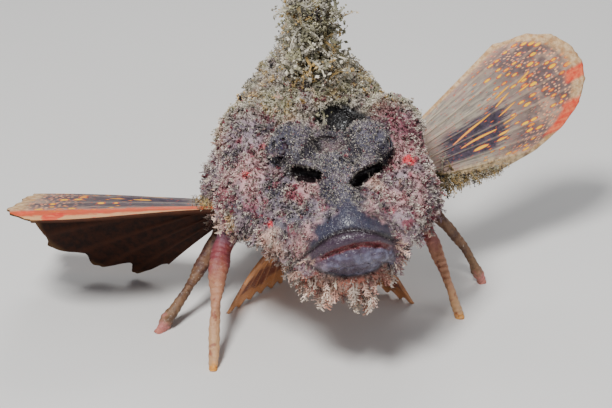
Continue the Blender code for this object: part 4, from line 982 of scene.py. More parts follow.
class Shader:
    """Short ways to add and link the nodes of one material."""

    def __init__(self, name, roughness=0.6):
        self.material = bpy.data.materials.new(name)
        self.material.use_nodes = True
        self.tree = self.material.node_tree
        self.surface = self.tree.nodes["Principled BSDF"]
        self.surface.inputs["Roughness"].default_value = roughness

    def put(self, socket, value):
        if isinstance(value, bpy.types.NodeSocket):
            self.tree.links.new(value, socket)
        elif isinstance(value, (tuple, list)) and len(value) == 3 and socket.type == "RGBA":
            socket.default_value = (*value, 1.0)
        else:
            socket.default_value = value

    def node(self, kind, inputs=(), **settings):
        made = self.tree.nodes.new(kind)
        for key, value in settings.items():
            setattr(made, key, value)
        for key, value in dict(inputs).items():
            self.put(made.inputs[key], value)
        return made

    def calc(self, operation, first, second=0.0, third=0.0, clamp=False):
        made = self.node("ShaderNodeMath", {0: first, 1: second, 2: third}, operation=operation,
            use_clamp=clamp)
        return made.outputs[0]

    def times(self, first, second):
        return self.calc("MULTIPLY", first, second)

    def plus(self, first, second):
        return self.calc("ADD", first, second)

    def minus(self, first, second):
        return self.calc("SUBTRACT", first, second)

    def ray_nearness(self, phase):
        """1 on a ray and 0 midway between two rays."""
        return self.times(self.calc("ABSOLUTE", self.minus(self.calc("FRACT", phase), 0.5)), 2.0)

    def step(self, value, start, end, low=0.0, high=1.0):
        """A smooth step from low at start to high at end."""
        made = self.node(
            "ShaderNodeMapRange",
            {"Value": value, "From Min": start, "From Max": end, "To Min": low, "To Max": high},
            interpolation_type="SMOOTHSTEP",
        )
        return made.outputs[0]

    def blend(self, share, first, second, kind="MIX"):
        made = self.node("ShaderNodeMix", {0: share, 6: first, 7: second}, data_type="RGBA", blend_type=kind)
        return made.outputs[2]

    def place(self):
        return self.node("ShaderNodeTexCoord").outputs["Object"]

    def flat(self, name):
        return self.node("ShaderNodeUVMap", uv_map=name).outputs[0]

    def split(self, vector):
        return self.node("ShaderNodeSeparateXYZ", {0: vector}).outputs

    def pack(self, x, y, z=0.0):
        return self.node("ShaderNodeCombineXYZ", {0: x, 1: y, 2: z}).outputs[0]

    def noise(self, vector, scale, detail=2.0, roughness=0.5):
        made = self.node("ShaderNodeTexNoise", {"Vector": vector, "Scale": scale, "Detail": detail,
            "Roughness": roughness})
        return made.outputs[0]

    def cells(self, vector, scale, feature="F1", randomness=1.0, flat=False):
        return self.node(
            "ShaderNodeTexVoronoi", {"Vector": vector, "Scale": scale, "Randomness": randomness},
            feature=feature, voronoi_dimensions="2D" if flat else "3D",
        )

    def attribute(self, name):
        return self.node("ShaderNodeAttribute", attribute_name=name).outputs

    def finish(self, colour, height=None, strength=0.4, distance=0.0003, roughness=None):
        self.put(self.surface.inputs["Base Color"], colour)
        if roughness is not None:
            self.put(self.surface.inputs["Roughness"], roughness)
        if height is not None:
            bump = self.node("ShaderNodeBump", {"Height": height, "Strength": strength,
                "Distance": distance})
            self.put(self.surface.inputs["Normal"], bump.outputs[0])
        return self.material


def tone(name):
    return tuple(getattr(bpy.context.scene.devilfish_colours, name))


def skin_material():
    """Mottled skin with pores, small wrinkles and grit pressed into it."""
    found = bpy.data.materials.get("fish_skin")
    if found:
        return found
    s = Shader("fish_skin")
    where = s.place()
    marking = s.attribute("marking")["Color"]
    smooth = s.attribute("smooth")["Fac"]
    pores = s.noise(where, 1500.0, 3.0, 0.6)
    mottle = s.noise(where, 420.0, 4.0, 0.6)
    shade = s.calc("MULTIPLY_ADD", mottle, 0.9, 0.55)
    shade = s.times(shade, s.calc("MULTIPLY_ADD", pores, 0.6, 0.7))
    colour = s.blend(1.0, marking, s.pack(shade, shade, shade), "MULTIPLY")
    grit = s.cells(where, 2300.0)
    fleck = s.step(grit.outputs["Distance"], 0.34, 0.24)
    rough_skin = s.minus(1.0, s.times(smooth, 0.85))
    kept = s.step(s.split(grit.outputs["Color"])[0], 0.62, 0.66)
    fleck = s.times(s.times(fleck, kept), rough_skin)
    tinted = s.blend(s.split(grit.outputs["Color"])[1], tone("cream"), tone("sand"))
    colour = s.blend(s.times(fleck, 0.75), colour, tinted)
    wrinkle = s.cells(where, 900.0, "DISTANCE_TO_EDGE")
    crease = s.step(wrinkle.outputs["Distance"], 0.0, 0.12)
    height = s.plus(s.times(pores, 0.6), s.times(crease, 0.35))
    height = s.plus(height, s.times(fleck, 0.9))
    rough = s.calc("MULTIPLY_ADD", pores, 0.4, s.calc("MULTIPLY_ADD", smooth, -0.22, 0.34))
    s.surface.inputs["Specular IOR Level"].default_value = 0.45
    return s.finish(colour, height, 0.55, 0.0004, rough)


def coat_material():
    """Papillae, grains and tassels: the root's marking, paler and warmer to the tips."""
    found = bpy.data.materials.get("fish_coat")
    if found:
        return found
    s = Shader("fish_coat")
    marking = s.attribute("marking")["Color"]
    tip = s.attribute("tip")["Fac"]
    where = s.place()
    blotch = s.noise(where, 700.0, 3.0, 0.6)
    shade = s.times(s.calc("MULTIPLY_ADD", blotch, 0.8, 0.6), s.calc("MULTIPLY_ADD", tip, 0.5, 0.5))
    colour = s.blend(1.0, marking, s.pack(shade, shade, shade), "MULTIPLY")
    pale = s.times(s.step(tip, 0.55, 1.0), s.calc("MULTIPLY_ADD", blotch, 0.7, 0.05))
    colour = s.blend(pale, colour, tone("cream"))
    rough = s.calc("MULTIPLY_ADD", blotch, 0.3, 0.45)
    return s.finish(colour, s.noise(where, 2600.0, 2.0), 0.35, 0.0002, rough)


class DEVILFISH_OT_skin(bpy.types.Operator):
    """One skin over head, jaw, trunk and tail"""

    bl_idname = "devilfish.skin"
    bl_label = "Skin"

    def execute(self, context):
        deselect()
        sizes = context.scene.devilfish_sizes
        form = join_into(plain_body(), balls(SWELLINGS))
        soften(form, FORM_VOXEL, 14)
        join_into(form, lips(form))
        soften(form, FORM_VOXEL, 2)
        carve(form, balls((BETWEEN_EYES, BEHIND_EYES), False))
        soften(form, FORM_VOXEL, 3)
        turn_snout(form)
        pits = [pit_form(pit) for pit in FACE_PITS]
        carve(form, [soften(join_into(pits[0], pits[1:]), 0.4, 1)])
        join_into(form, [eye_ring(1), eye_ring(-1)])
        soften(form, 0.7, 0)
        sockets = [ball(eye_centre(side), (EYE_RADIUS + 0.1,) * 3, (0, 0, 0)) for side in (1, -1)]
        carve(form, sockets + [gape()])
        soften(form, sizes.skin_voxel / MM, 3)
        places, normals, _ = read_mesh(form)
        points = places / MM
        points[:, 2] += mouth_bend(points)
        moved = sculpt(points, normals, zones(points))
        form.data.vertices.foreach_set("co", (moved * MM + SHIFT).ravel())
        form.name = form.data.name = "skin"
        zone = zones(moved)
        put_attribute(form, "marking", skin_colours(moved, zone))
        put_attribute(form, "smooth", np.maximum.reduce(
            [zone[key] for key in ("smooth", "inside", "pit_core", "shade")]))
        form.data.update()
        form.data.shade_smooth()
        hand_over(form, ("head", "lower_jaw", "trunk", "tail"), [skin_material()])
        return {"FINISHED"}


def eye_material():
    """A dark pupil, a blue-violet iris with pale flecks and a wet surface."""
    s = Shader("eye_surface", 0.12)
    facing = s.attribute("facing")["Fac"]
    where = s.place()
    flecks = s.noise(where, 2500.0, 3.0)
    ring = s.step(s.plus(facing, s.calc("MULTIPLY_ADD", flecks, 0.06, -0.03)), 0.82, 0.88)
    iris = s.blend(s.step(flecks, 0.45, 0.7), linear(52, 48, 92), linear(132, 118, 128))
    outer = s.blend(s.step(facing, 0.35, 0.6), linear(60, 44, 52), iris)
    colour = s.blend(ring, outer, linear(8, 7, 12))
    s.surface.inputs["Coat Weight"].default_value = 1.0
    s.surface.inputs["Coat Roughness"].default_value = 0.04
    return s.finish(colour)


class DEVILFISH_OT_eyes(bpy.types.Operator):
    """Both eyes with a domed cornea"""

    bl_idname = "devilfish.eyes"
    bl_label = "Eyes"

    def execute(self, context):
        material = eye_material()
        for side, node in ((1, "eye_left"), (-1, "eye_right")):
            deselect()
            bpy.ops.mesh.primitive_uv_sphere_add(segments=48, ring_count=32, radius=1.0)
            globe = bpy.context.object
            places, _, corners = read_mesh(globe)
            bpy.data.objects.remove(globe)
            facing = places[:, 2]
            bulge = 1 + 0.05 * ramp(facing, 0.72, 0.92)
            axis = Vector((EYE_AXIS.x * side, EYE_AXIS.y, EYE_AXIS.z))
            turn = np.array(axis.to_track_quat("Z", "Y").to_matrix())
            points = (places * bulge[:, None] * (EYE_RADIUS - 0.1)) @ turn.T + eye_centre(side)
            eye = mesh_piece(node.replace("eye", "eyeball"), points, corners)
            put_attribute(eye, "facing", facing)
            eye.data.shade_smooth()
            hand_over(eye, (node,), [material])
        return {"FINISHED"}


def off_limits(skin):
    """Where nothing of the coat is rooted: lips, mouth, pits, eyes."""
    eye = np.minimum(*(norm(skin.points - eye_centre(side), axis=1) for side in (1, -1)))
    blocked = np.maximum.reduce([skin.zone[key] for key in ("inside", "pit_core", "shade", "rim", "groove")])
    blocked = np.maximum(blocked, 0.55 * skin.zone["pits"])
    return (1 - blocked) * ramp(eye, 3.3, 3.9)


def varied(colours, rng, pale, red, dark, tint="wine"):
    """Per-tuft colours: most near the skin's own, some pale, some red, some dark."""
    tones = bpy.context.scene.devilfish_colours
    lot, count = rng.random((len(colours), 1)), (len(colours), 1)
    made = colours * rng.uniform(0.7, 1.5, count)
    cream = np.array(tones.cream) * rng.uniform(0.45, 1.05, count) ** 1.5
    made = np.where(lot < pale, made * 0.3 + cream * 0.7, made)
    made = np.where((lot >= pale) & (lot < pale + red),
        np.array(getattr(tones, tint)) * rng.uniform(0.6, 1.6, count), made)
    made = np.where(lot > 1 - dark, np.array(tones.umber_and_shade) * rng.uniform(0.8, 2.5, count), made)
    return np.clip(made, 0.0, 1.0)


class DEVILFISH_OT_face_coat(bpy.types.Operator):
    """Papillae of the cheeks and the sand on the face"""

    bl_idname = "devilfish.face_coat"
    bl_label = "Face coat"

    def execute(self, context):
        sizes = context.scene.devilfish_sizes
        skin = Skin(bpy.data.objects["skin"])
        zone, free = skin.zone, off_limits(skin)
        x, y, z = skin.points.T
        head = ramp(y, 70.0, 62.0)
        rough = free * head * (1 - zone["smooth"]) * (1 - 0.8 * zone["below"])
        shapes = papilla_shapes(21, 5)
        for side, name in ((1, "left"), (-1, "right")):
            for part, edge in (("upper", 1), ("lower", -1)):
                here = rough * (1 - 0.94 * zone["face"]) * (x * side > 0) * ((z - 52.0) * edge > 0)
                rng, spots, ways, colours = skin.draw(here, sizes.papillae, 31 + side + 3 * edge)
                lengths = (sizes.papilla / MM * rng.uniform(0.6, 1.45, len(spots))
                    * (1 - 0.35 * ramp(spots[:, 1], 16.0, 8.0)))
                tints = varied(colours, rng, 0.28, 0.09, 0.07)
                scatter(
                    f"papillae_{part}_{name}", shapes, spots, ways, lengths, tints, rng,
                    lie=(0, -0.2, -0.3), lean=0.5, glow=(0.2, 1.5),
                )
        rng, spots, ways, colours = skin.draw(rough * (0.05 + zone["face"]), sizes.stubble, 40)
        lengths = rng.uniform(0.3, 0.75, len(spots))
        scatter("stubble", papilla_shapes(29, 3), spots, ways, lengths,
            varied(colours, rng, 0.34, 0.03, 0.25), rng, glow=(-0.4, 1.6))
        dust = (free * head * (1 - 0.95 * zone["smooth"]) * (1 - 0.7 * zone["below"])
            * (1 + 2.6 * zone["face"]))
        grains = grain_shapes(22)
        rng, spots, ways, colours = skin.draw(dust, sizes.grains, 41)
        widths = (sizes.grain / MM * rng.uniform(0.55, 1.5, len(spots))
            * np.where(rng.random(len(spots)) < 0.05, 1.6, 1.0))
        tints = varied(colours, rng, 0.42, 0.05, 0.16)
        scatter("face_grit", grains, spots + ways * 0.08, ways, widths, tints, rng, glow=(0.0, 1.0))
        return {"FINISHED"}


class DEVILFISH_OT_tassels(bpy.types.Operator):
    """Fringe of the cheeks and the beard"""

    bl_idname = "devilfish.tassels"
    bl_label = "Tassels"

    def execute(self, context):
        sizes = context.scene.devilfish_sizes
        skin = Skin(bpy.data.objects["skin"])
        zone, free = skin.zone, off_limits(skin)
        x, y, z = skin.points.T
        middle = x - snout_shift(y)
        head = ramp(y, 66.0, 60.0) * (1 - zone["smooth"]) * (1 - zone["face"])
        fringe = (free * head * ramp(z, 46.0, 38.0) * ramp(z, 24.0, 28.0) * ramp(y, 8.0, 12.0)
            + 0.06 * free * head)
        rng, spots, ways, colours = skin.draw(fringe, 620, 51)
        lengths = sizes.tassel / MM * rng.uniform(0.35, 1.0, len(spots))
        tints = varied(colours, rng, 0.12, 0.30, 0.04, "blush")
        shapes = tassel_shapes(23, 9, 1, 0.25)
        scatter("cheek_fringe", shapes, spots, ways, lengths, tints, rng, lie=(0, -0.5, -0.55), lean=0.7,
            glow=(0.2, 1.1))
        beard = free * ramp(z, 37.0, 34.0) * ramp(z, 20.0, 24.0) * ramp(y, 24.0, 18.0) * (1 - zone["smooth"])
        centres = (-10.5, -5.5, 1.5, 5.0, 12.5)
        clumps = 0.05 + sum(np.exp(-(((middle - c) / 1.7) ** 2)) for c in centres)
        rng, spots, ways, colours = skin.draw(beard * clumps, 190, 52)
        aside = np.min([np.abs(spots[:, 0] - snout_shift(spots[:, 1]) - c) for c in centres], axis=0)
        lengths = (sizes.tassel / MM * rng.uniform(0.4, 1.35, len(spots))
            * (1.1 - 0.4 * ramp(aside, 0.8, 3.0)))
        tints = varied(colours, rng, 0.45, 0.30, 0.0, "blush")
        shapes = tassel_shapes(24, 10, 2, 0.2, width=0.10)
        scatter("beard", shapes, spots, ways, lengths, tints, rng, lie=(0, -0.3, -1.0), lean=0.9,
            glow=(0.4, 1.6))
        corner = (free * (1 - zone["inside"]) * ramp(np.abs(middle), 9.0, 11.5)
            * ramp(np.abs(middle), 17.0, 14.0))
        corner = corner * ramp(y, 17.0, 12.0) * ramp(np.abs(z - 41.0), 7.0, 4.0)
        rng, spots, ways, colours = skin.draw(corner, 60, 53)
        lengths = sizes.tassel / MM * rng.uniform(0.25, 0.6, len(spots))
        tints = varied(colours, rng, 0.15, 0.35, 0.05, "blush")
        scatter("mouth_corners", shapes, spots, ways, lengths, tints, rng, lie=(0, -0.6, -0.3), lean=0.5,
            glow=(0.2, 1.1))
        return {"FINISHED"}


class DEVILFISH_OT_back_coat(bpy.types.Operator):
    """Papillae, flaps and sand of nape, trunk and tail"""

    bl_idname = "devilfish.back_coat"
    bl_label = "Back coat"

    def execute(self, context):
        skin = Skin(bpy.data.objects["skin"])
        zone, free = skin.zone, off_limits(skin)
        x, y, _ = skin.points.T
        body = free * ramp(y, 60.0, 68.0) * (1 - 0.85 * zone["below"])
        nape = free * zone["back"] * ramp(y, 40.0, 46.0) * ramp(y, 100.0, 84.0)
        rng, spots, ways, colours = skin.draw(body + 1.4 * nape, 2700, 61)
        lengths = rng.uniform(0.6, 1.6, len(spots)) * (1 - 0.4 * ramp(spots[:, 1], 120, 175))
        tints = varied(colours, rng, 0.15, 0.10, 0.12, "ochre")
        scatter("body_papillae", papilla_shapes(25, 4), spots, ways, lengths, tints, rng,
            lie=(0, 0.5, 0), lean=0.5, glow=(0.0, 1.0))
        rng, spots, ways, colours = skin.draw(nape + 0.25 * body, 800, 62)
        lengths = rng.uniform(1.2, 2.6, len(spots))
        tints = varied(colours, rng, 0.3, 0.16, 0.08, "ochre")
        scatter("nape_lumps", papilla_shapes(26, 9), spots, ways, lengths, tints, rng, lie=(0, 0.2, 0.3),
            lean=0.4, glow=(0.0, 1.2))
        crest = (free * ramp(y, 51.5, 54.0) * ramp(y, 140.0, 120.0)
            * ramp(np.abs(x - 0.12 * (60.0 - y)), 9.0, 3.0) * zone["back"])
        rng, spots, ways, colours = skin.draw(crest * (0.25 + 0.75 * ramp(y, 72.0, 64.0)), 290, 64)
        lengths = rng.uniform(2.6, 7.0, len(spots)) * (1 - 0.45 * ramp(spots[:, 1], 70.0, 90.0))
        tints = varied(colours, rng, 0.25, 0.2, 0.15, "ochre")
        ways = (ways + np.column_stack([0.5 * np.sign(spots[:, 0] - 0.5), np.full(len(spots), -0.15),
            np.full(len(spots), 0.3)]))
        cream = np.array(context.scene.devilfish_colours.cream)
        stalk = np.array((-0.8, 40.9, 63.8)) + rng.normal(0, 0.18, (5, 3))
        rise = np.array((0.75, 0.0, 0.8)) + rng.normal(0, 0.05, (5, 3))
        spots, ways = np.concatenate([spots, stalk]), np.concatenate([ways, rise])
        lengths = np.concatenate([lengths, rng.uniform(3.2, 4.6, 5)])
        tints = np.concatenate([tints, np.tile(cream * 0.75, (5, 1))])
        scatter("nape_ribbons", ribbon_shapes(65, 16, 0.5, 0.08), spots, ways, lengths, tints, rng,
            glow=(-0.2, 1.1))
        rng, spots, ways, colours = skin.draw(body + 1.6 * nape, 11500, 63)
        widths = 0.30 * rng.uniform(0.5, 1.6, len(spots))
        tints = varied(colours, rng, 0.6, 0.06, 0.10, "ochre")
        scatter("body_grit", grain_shapes(27), spots + ways * 0.1, ways, widths, tints, rng, glow=(0.2, 1.0))
        return {"FINISHED"}


def membrane(name, place, ks, us, thickness, edge):
    """Closed thin sheet over a grid of rays and reaches. place, thickness and edge read k and u."""
    k, u = np.meshgrid(ks, us, indexing="ij")
    reach = u * edge(k)
    middle = place(k, reach)
    normal = np.cross(np.gradient(middle, axis=1), np.gradient(middle, axis=0))
    normal /= np.maximum(norm(normal, axis=2), 1e-12)[..., None]
    half = (thickness(k, reach) / 2)[..., None]
    upper, lower = (middle + normal * half).reshape(-1, 3), (middle - normal * half).reshape(-1, 3)
    wide, deep = k.shape
    index = np.arange(wide * deep).reshape(wide, deep)
    a, b = index[:-1, :-1].ravel(), index[1:, :-1].ravel()
    c, d = index[1:, 1:].ravel(), index[:-1, 1:].ravel()
    under = wide * deep
    faces = np.concatenate([np.column_stack([a, d, c, b]), np.column_stack([a, b, c, d]) + under])
    rim = np.concatenate([index[0, :], index[1:, -1], index[-1, -2::-1], index[-2:0:-1, 0]])
    ahead = np.roll(rim, -1)
    faces = np.concatenate([faces, np.column_stack([rim, rim + under, ahead + under, ahead])])
    obj = mesh_piece(name, np.concatenate([upper, lower]), faces)
    flat = np.column_stack([k.ravel(), reach.ravel()])
    put_uv(obj, "spread", np.concatenate([flat, flat]))
    sheet = (wide - 1) * (deep - 1)
    kind = np.zeros(len(faces), dtype=np.int32)
    kind[sheet:2 * sheet] = 1
    obj.data.polygons.foreach_set("material_index", kind)
    outward(obj)
    obj.data.shade_smooth()
    return obj, np.concatenate([flat, flat]), middle


def ridge(k, rays, sharpness=6.0):
    """1 on a ray and 0 between rays."""
    return (0.5 + 0.5 * np.cos(2 * np.pi * k * (rays - 1))) ** sharpness


class Fan:
    """A pectoral fan laid flat and then folded along one ray, away from its inner, spotted face."""

    def __init__(self, root, along, across, length, base, spread, shares, fold_share, fold_angle, cup,
            notches, folds, bulge,
                 torn):
        self.notches, self.folds, self.bulge, self.torn = notches, folds, bulge, torn
        self.root = np.array(root, dtype=float)
        self.along = np.array(along) / norm(along)
        across = np.array(across) - self.along * (np.array(across) @ self.along)
        self.across = across / norm(across)
        self.length, self.base = length, base
        self.low, self.high = (math.radians(angle) for angle in spread)
        self.shares, self.fold_share, self.fold_angle, self.cup = shares, fold_share, fold_angle, cup
        inner = np.cross(self.along, self.across)
        self.inner = inner if inner[2] > 0 else -inner

    def flat(self, k, u):
        angle = self.low + (self.high - self.low) * k
        reach = self.length * curve_lookup(self.shares, k) * u
        out = self.bulge * np.clip(1 - k / 0.3, 0.0, 1.0) * (0.9 * (1 - u) + 6.75 * u**2 * (1 - u))
        return reach * np.cos(angle), self.base * (k - 0.5) + reach * np.sin(angle) - out

    def place(self, k, u):
        s, v = self.flat(k, u)
        _, v_fold = self.flat(np.full_like(k, self.fold_share), u)
        past = np.maximum(v - v_fold, 0.0)
        radius = 5.0
        turned = np.minimum(past / radius, self.fold_angle)
        out = radius * np.sin(turned) + (past - radius * turned) * np.cos(turned)
        down = radius * (1 - np.cos(turned)) + (past - radius * turned) * np.sin(turned)
        v = np.where(v > v_fold, v_fold + out, v)
        lift = -self.cup * u**2 * self.length - down
        return (self.root + s[..., None] * self.along + v[..., None] * self.across
            + lift[..., None] * self.inner)


# Long yellow streaks on the inner face of a fan: ray share and reach of both ends, half width.
STREAKS = (
    (0.456, 0.234, 0.566, 0.461, 0.26), (0.580, 0.500, 0.619, 0.591, 0.22),
    (0.373, 0.278, 0.406, 0.484, 0.28), (0.281, 0.364, 0.286, 0.450, 0.48),
    (0.636, 0.52, 0.672, 0.62, 0.22), (0.345, 0.50, 0.352, 0.56, 0.30), (0.300, 0.50, 0.304, 0.57, 0.26),
    (0.50, 0.50, 0.53, 0.60, 0.18), (0.655, 0.66, 0.680, 0.75, 0.26), (0.590, 0.64, 0.603, 0.70, 0.22),
    (0.420, 0.52, 0.432, 0.60, 0.18),
)


def fan_inner_material(name, folded):
    """The spotted inner face: dark fields, pale rays, yellow streaks and dashes, an ochre and red margin.
    Where the fan is folded, the orange border runs along its front edge."""
    s = Shader(name)
    where, spread = s.place(), s.flat("spread")
    k, u = s.split(spread)[0], s.split(spread)[1]
    grime = s.noise(where, 620.0, 5.0, 0.65)
    cloud = s.noise(where, 110.0, 3.0, 0.55)
    fine = s.noise(where, 1800.0, 2.0)
    phase = s.times(k, float(PECTORAL_RAYS - 1))
    combed = s.noise(s.pack(s.times(phase, 2.6), s.times(u, 5.0)), 2.2, 4.0, 0.65)
    threads = s.noise(s.pack(s.times(phase, 9.0), s.times(u, 9.0), 3.0), 1.6, 3.0, 0.6)
    ray = s.step(s.ray_nearness(phase), 0.72, 0.97)
    ragged = s.calc("MULTIPLY_ADD", combed, 0.24, -0.12)
    u_near, k_near = s.plus(u, ragged), s.plus(k, s.times(ragged, 0.5))
    near = s.times(s.step(u_near, 0.13, 0.22), s.step(u_near, 0.60, 0.50))
    near = s.times(near, s.times(s.step(k_near, 0.18, 0.26), s.step(k_near, 0.64, 0.56)))
    far = s.times(s.step(u_near, 0.50, 0.72), s.times(s.step(k, 0.10, 0.2), s.step(k, 1.0, 0.86)))
    far = s.times(far, s.step(s.plus(cloud, ragged), 0.30, 0.52))
    field = s.calc("MAXIMUM", near, s.times(far, 0.8))
    if folded:
        centre = s.times(s.step(s.plus(k, ragged), 0.13, 0.17), s.step(u_near, 0.10, 0.2))
        field = s.calc("MAXIMUM", field, s.times(centre, s.step(u_near, 0.92, 0.80, 0.0, 0.85)))
    field = s.times(field, s.step(ray, 1.0, 0.0, 0.7, 1.0))
    film = s.blend(s.step(combed, 0.32, 0.62), linear(112, 104, 98), linear(164, 152, 134))
    film = s.blend(s.step(cloud, 0.42, 0.62, 0.0, 0.5), film, linear(168, 128, 118))
    film = s.blend(s.times(ray, 0.35), film, linear(206, 188, 154))
    film = s.blend(s.step(threads, 0.56, 0.72, 0.0, 0.55), film, linear(214, 200, 176))
    dark = s.blend(s.step(grime, 0.3, 0.7), linear(34, 26, 40), linear(78, 64, 78))
    dark = s.blend(s.step(threads, 0.60, 0.76, 0.0, 0.5), dark, linear(150, 124, 118))
    film = s.blend(s.step(u, 0.5, 0.8, 0.0, 0.55), film, linear(206, 160, 132))
    colour = s.blend(field, film, dark)
    dashes = s.cells(s.pack(s.times(phase, 3.3), s.times(u, 15.0)), 1.0, randomness=0.9, flat=True)
    lot = s.split(dashes.outputs["Color"])
    dense = s.times(s.step(u, 0.34, 0.66), s.step(k, 0.97, 0.86))
    size = s.times(s.calc("MULTIPLY_ADD", lot[1], 0.15, 0.19), s.step(lot[0], 0.46, 0.38))
    reach = s.minus(dashes.outputs["Distance"], s.times(size, dense))
    dots = s.cells(s.pack(s.times(phase, 5.5), s.times(u, 36.0)), 1.0, randomness=0.9, flat=True)
    drawn = s.split(dots.outputs["Color"])
    dot = s.step(dots.outputs["Distance"], 0.30, 0.20)
    dot = s.times(dot, s.times(s.step(u, 0.62, 0.80), s.step(drawn[0], 0.80, 0.68)))
    rose = s.blend(drawn[1], linear(226, 132, 100), linear(240, 186, 140))
    colour = s.blend(s.times(dot, 0.85), colour, rose)
    colour = s.blend(s.step(reach, 0.12, 0.03, 0.0, 0.9), colour, linear(196, 66, 34))
    warm_dash = s.blend(s.step(lot[2], 0.55, 0.95), linear(255, 196, 8), linear(240, 140, 40))
    colour = s.blend(s.step(reach, 0.0, -0.06), colour, warm_dash)
    streak = s.attribute("streak")["Fac"]
    colour = s.blend(s.step(streak, 0.05, 0.4), colour, linear(206, 92, 40))
    bright = s.blend(s.step(u, 0.22, 0.40), linear(240, 150, 84), linear(255, 196, 30))
    colour = s.blend(s.step(streak, 0.4, 0.85), colour, bright)
    uneven = s.plus(u, s.calc("MULTIPLY_ADD", cloud, 0.08, -0.04))
    ochre = s.blend(s.step(grime, 0.35, 0.65), linear(178, 132, 84), linear(222, 190, 146))
    red = s.blend(s.step(s.calc("MULTIPLY_ADD", combed, 0.5, s.times(grime, 0.5)), 0.38, 0.62),
        linear(214, 44, 20), linear(238, 116, 72))
    if folded:
        margin = s.calc("MAXIMUM", s.step(uneven, 0.90, 0.95), s.step(k, 0.035, 0.0))
        margin = s.calc("MAXIMUM", margin, s.step(u, 0.14, 0.04))
        fray = s.calc("MULTIPLY_ADD", s.noise(where, 260.0, 4.0, 0.7), 0.22, -0.11)
        ragged = s.plus(ragged, fray)
        border = s.step(s.plus(k, s.times(ragged, 0.35)), 0.150, 0.100)
        warm = s.blend(s.step(s.plus(k, s.times(ragged, 0.3)), 0.075, 0.04), linear(206, 84, 44),
            linear(222, 166, 112))
        colour = s.blend(s.times(margin, 0.92), colour, ochre)
        colour = s.blend(border, colour, s.blend(s.step(cloud, 0.56, 0.62), warm, red))
    else:
        margin = s.calc("MAXIMUM", s.step(uneven, 0.905, 0.945), s.step(k, 0.95, 0.975))
        colour = s.blend(s.times(margin, 0.92), colour, ochre)
        first = s.times(s.step(k, 0.185, 0.215), s.step(k, 0.385, 0.35))
        second = s.times(s.step(k, 0.46, 0.48), s.step(k, 0.555, 0.53))
        patch = s.times(s.calc("MAXIMUM", first, second), s.step(uneven, 0.865, 0.905))
        colour = s.blend(s.times(patch, 0.95), colour, red)
        sandy = s.step(s.plus(k, s.calc("MULTIPLY_ADD", cloud, 0.12, -0.06)), 0.17, 0.09)
        sand = s.blend(s.step(grime, 0.35, 0.6), linear(112, 90, 62), linear(198, 172, 130))
        colour = s.blend(s.times(sandy, 0.9), colour, sand)
    height = s.plus(s.times(fine, 0.4), s.times(s.plus(grime, threads), 0.4))
    rough = s.calc("MULTIPLY_ADD", grime, 0.35, 0.30)
    return s.finish(colour, height, 0.45, 0.0003, rough)


def fan_outer_material():
    """The dark outer face with brown rays and a thin pale edge."""
    s = Shader("fan_outer")
    where, spread = s.place(), s.flat("spread")
    k, u = s.split(spread)[0], s.split(spread)[1]
    grime = s.noise(where, 450.0, 5.0, 0.65)
    phase = s.times(k, float(PECTORAL_RAYS - 1))
    ray = s.step(s.ray_nearness(phase), 0.6, 0.95)
    brown = s.blend(s.step(grime, 0.3, 0.7), linear(30, 13, 7), linear(60, 30, 17))
    colour = s.blend(s.times(ray, 0.35), brown, linear(84, 46, 28))
    edge = s.step(u, 0.955, 0.99)
    colour = s.blend(s.times(edge, 0.6), colour, linear(104, 76, 48))
    s.surface.inputs["Specular IOR Level"].default_value = 0.2
    return s.finish(colour, grime, 0.4, 0.0003, s.calc("MULTIPLY_ADD", grime, 0.3, 0.55))


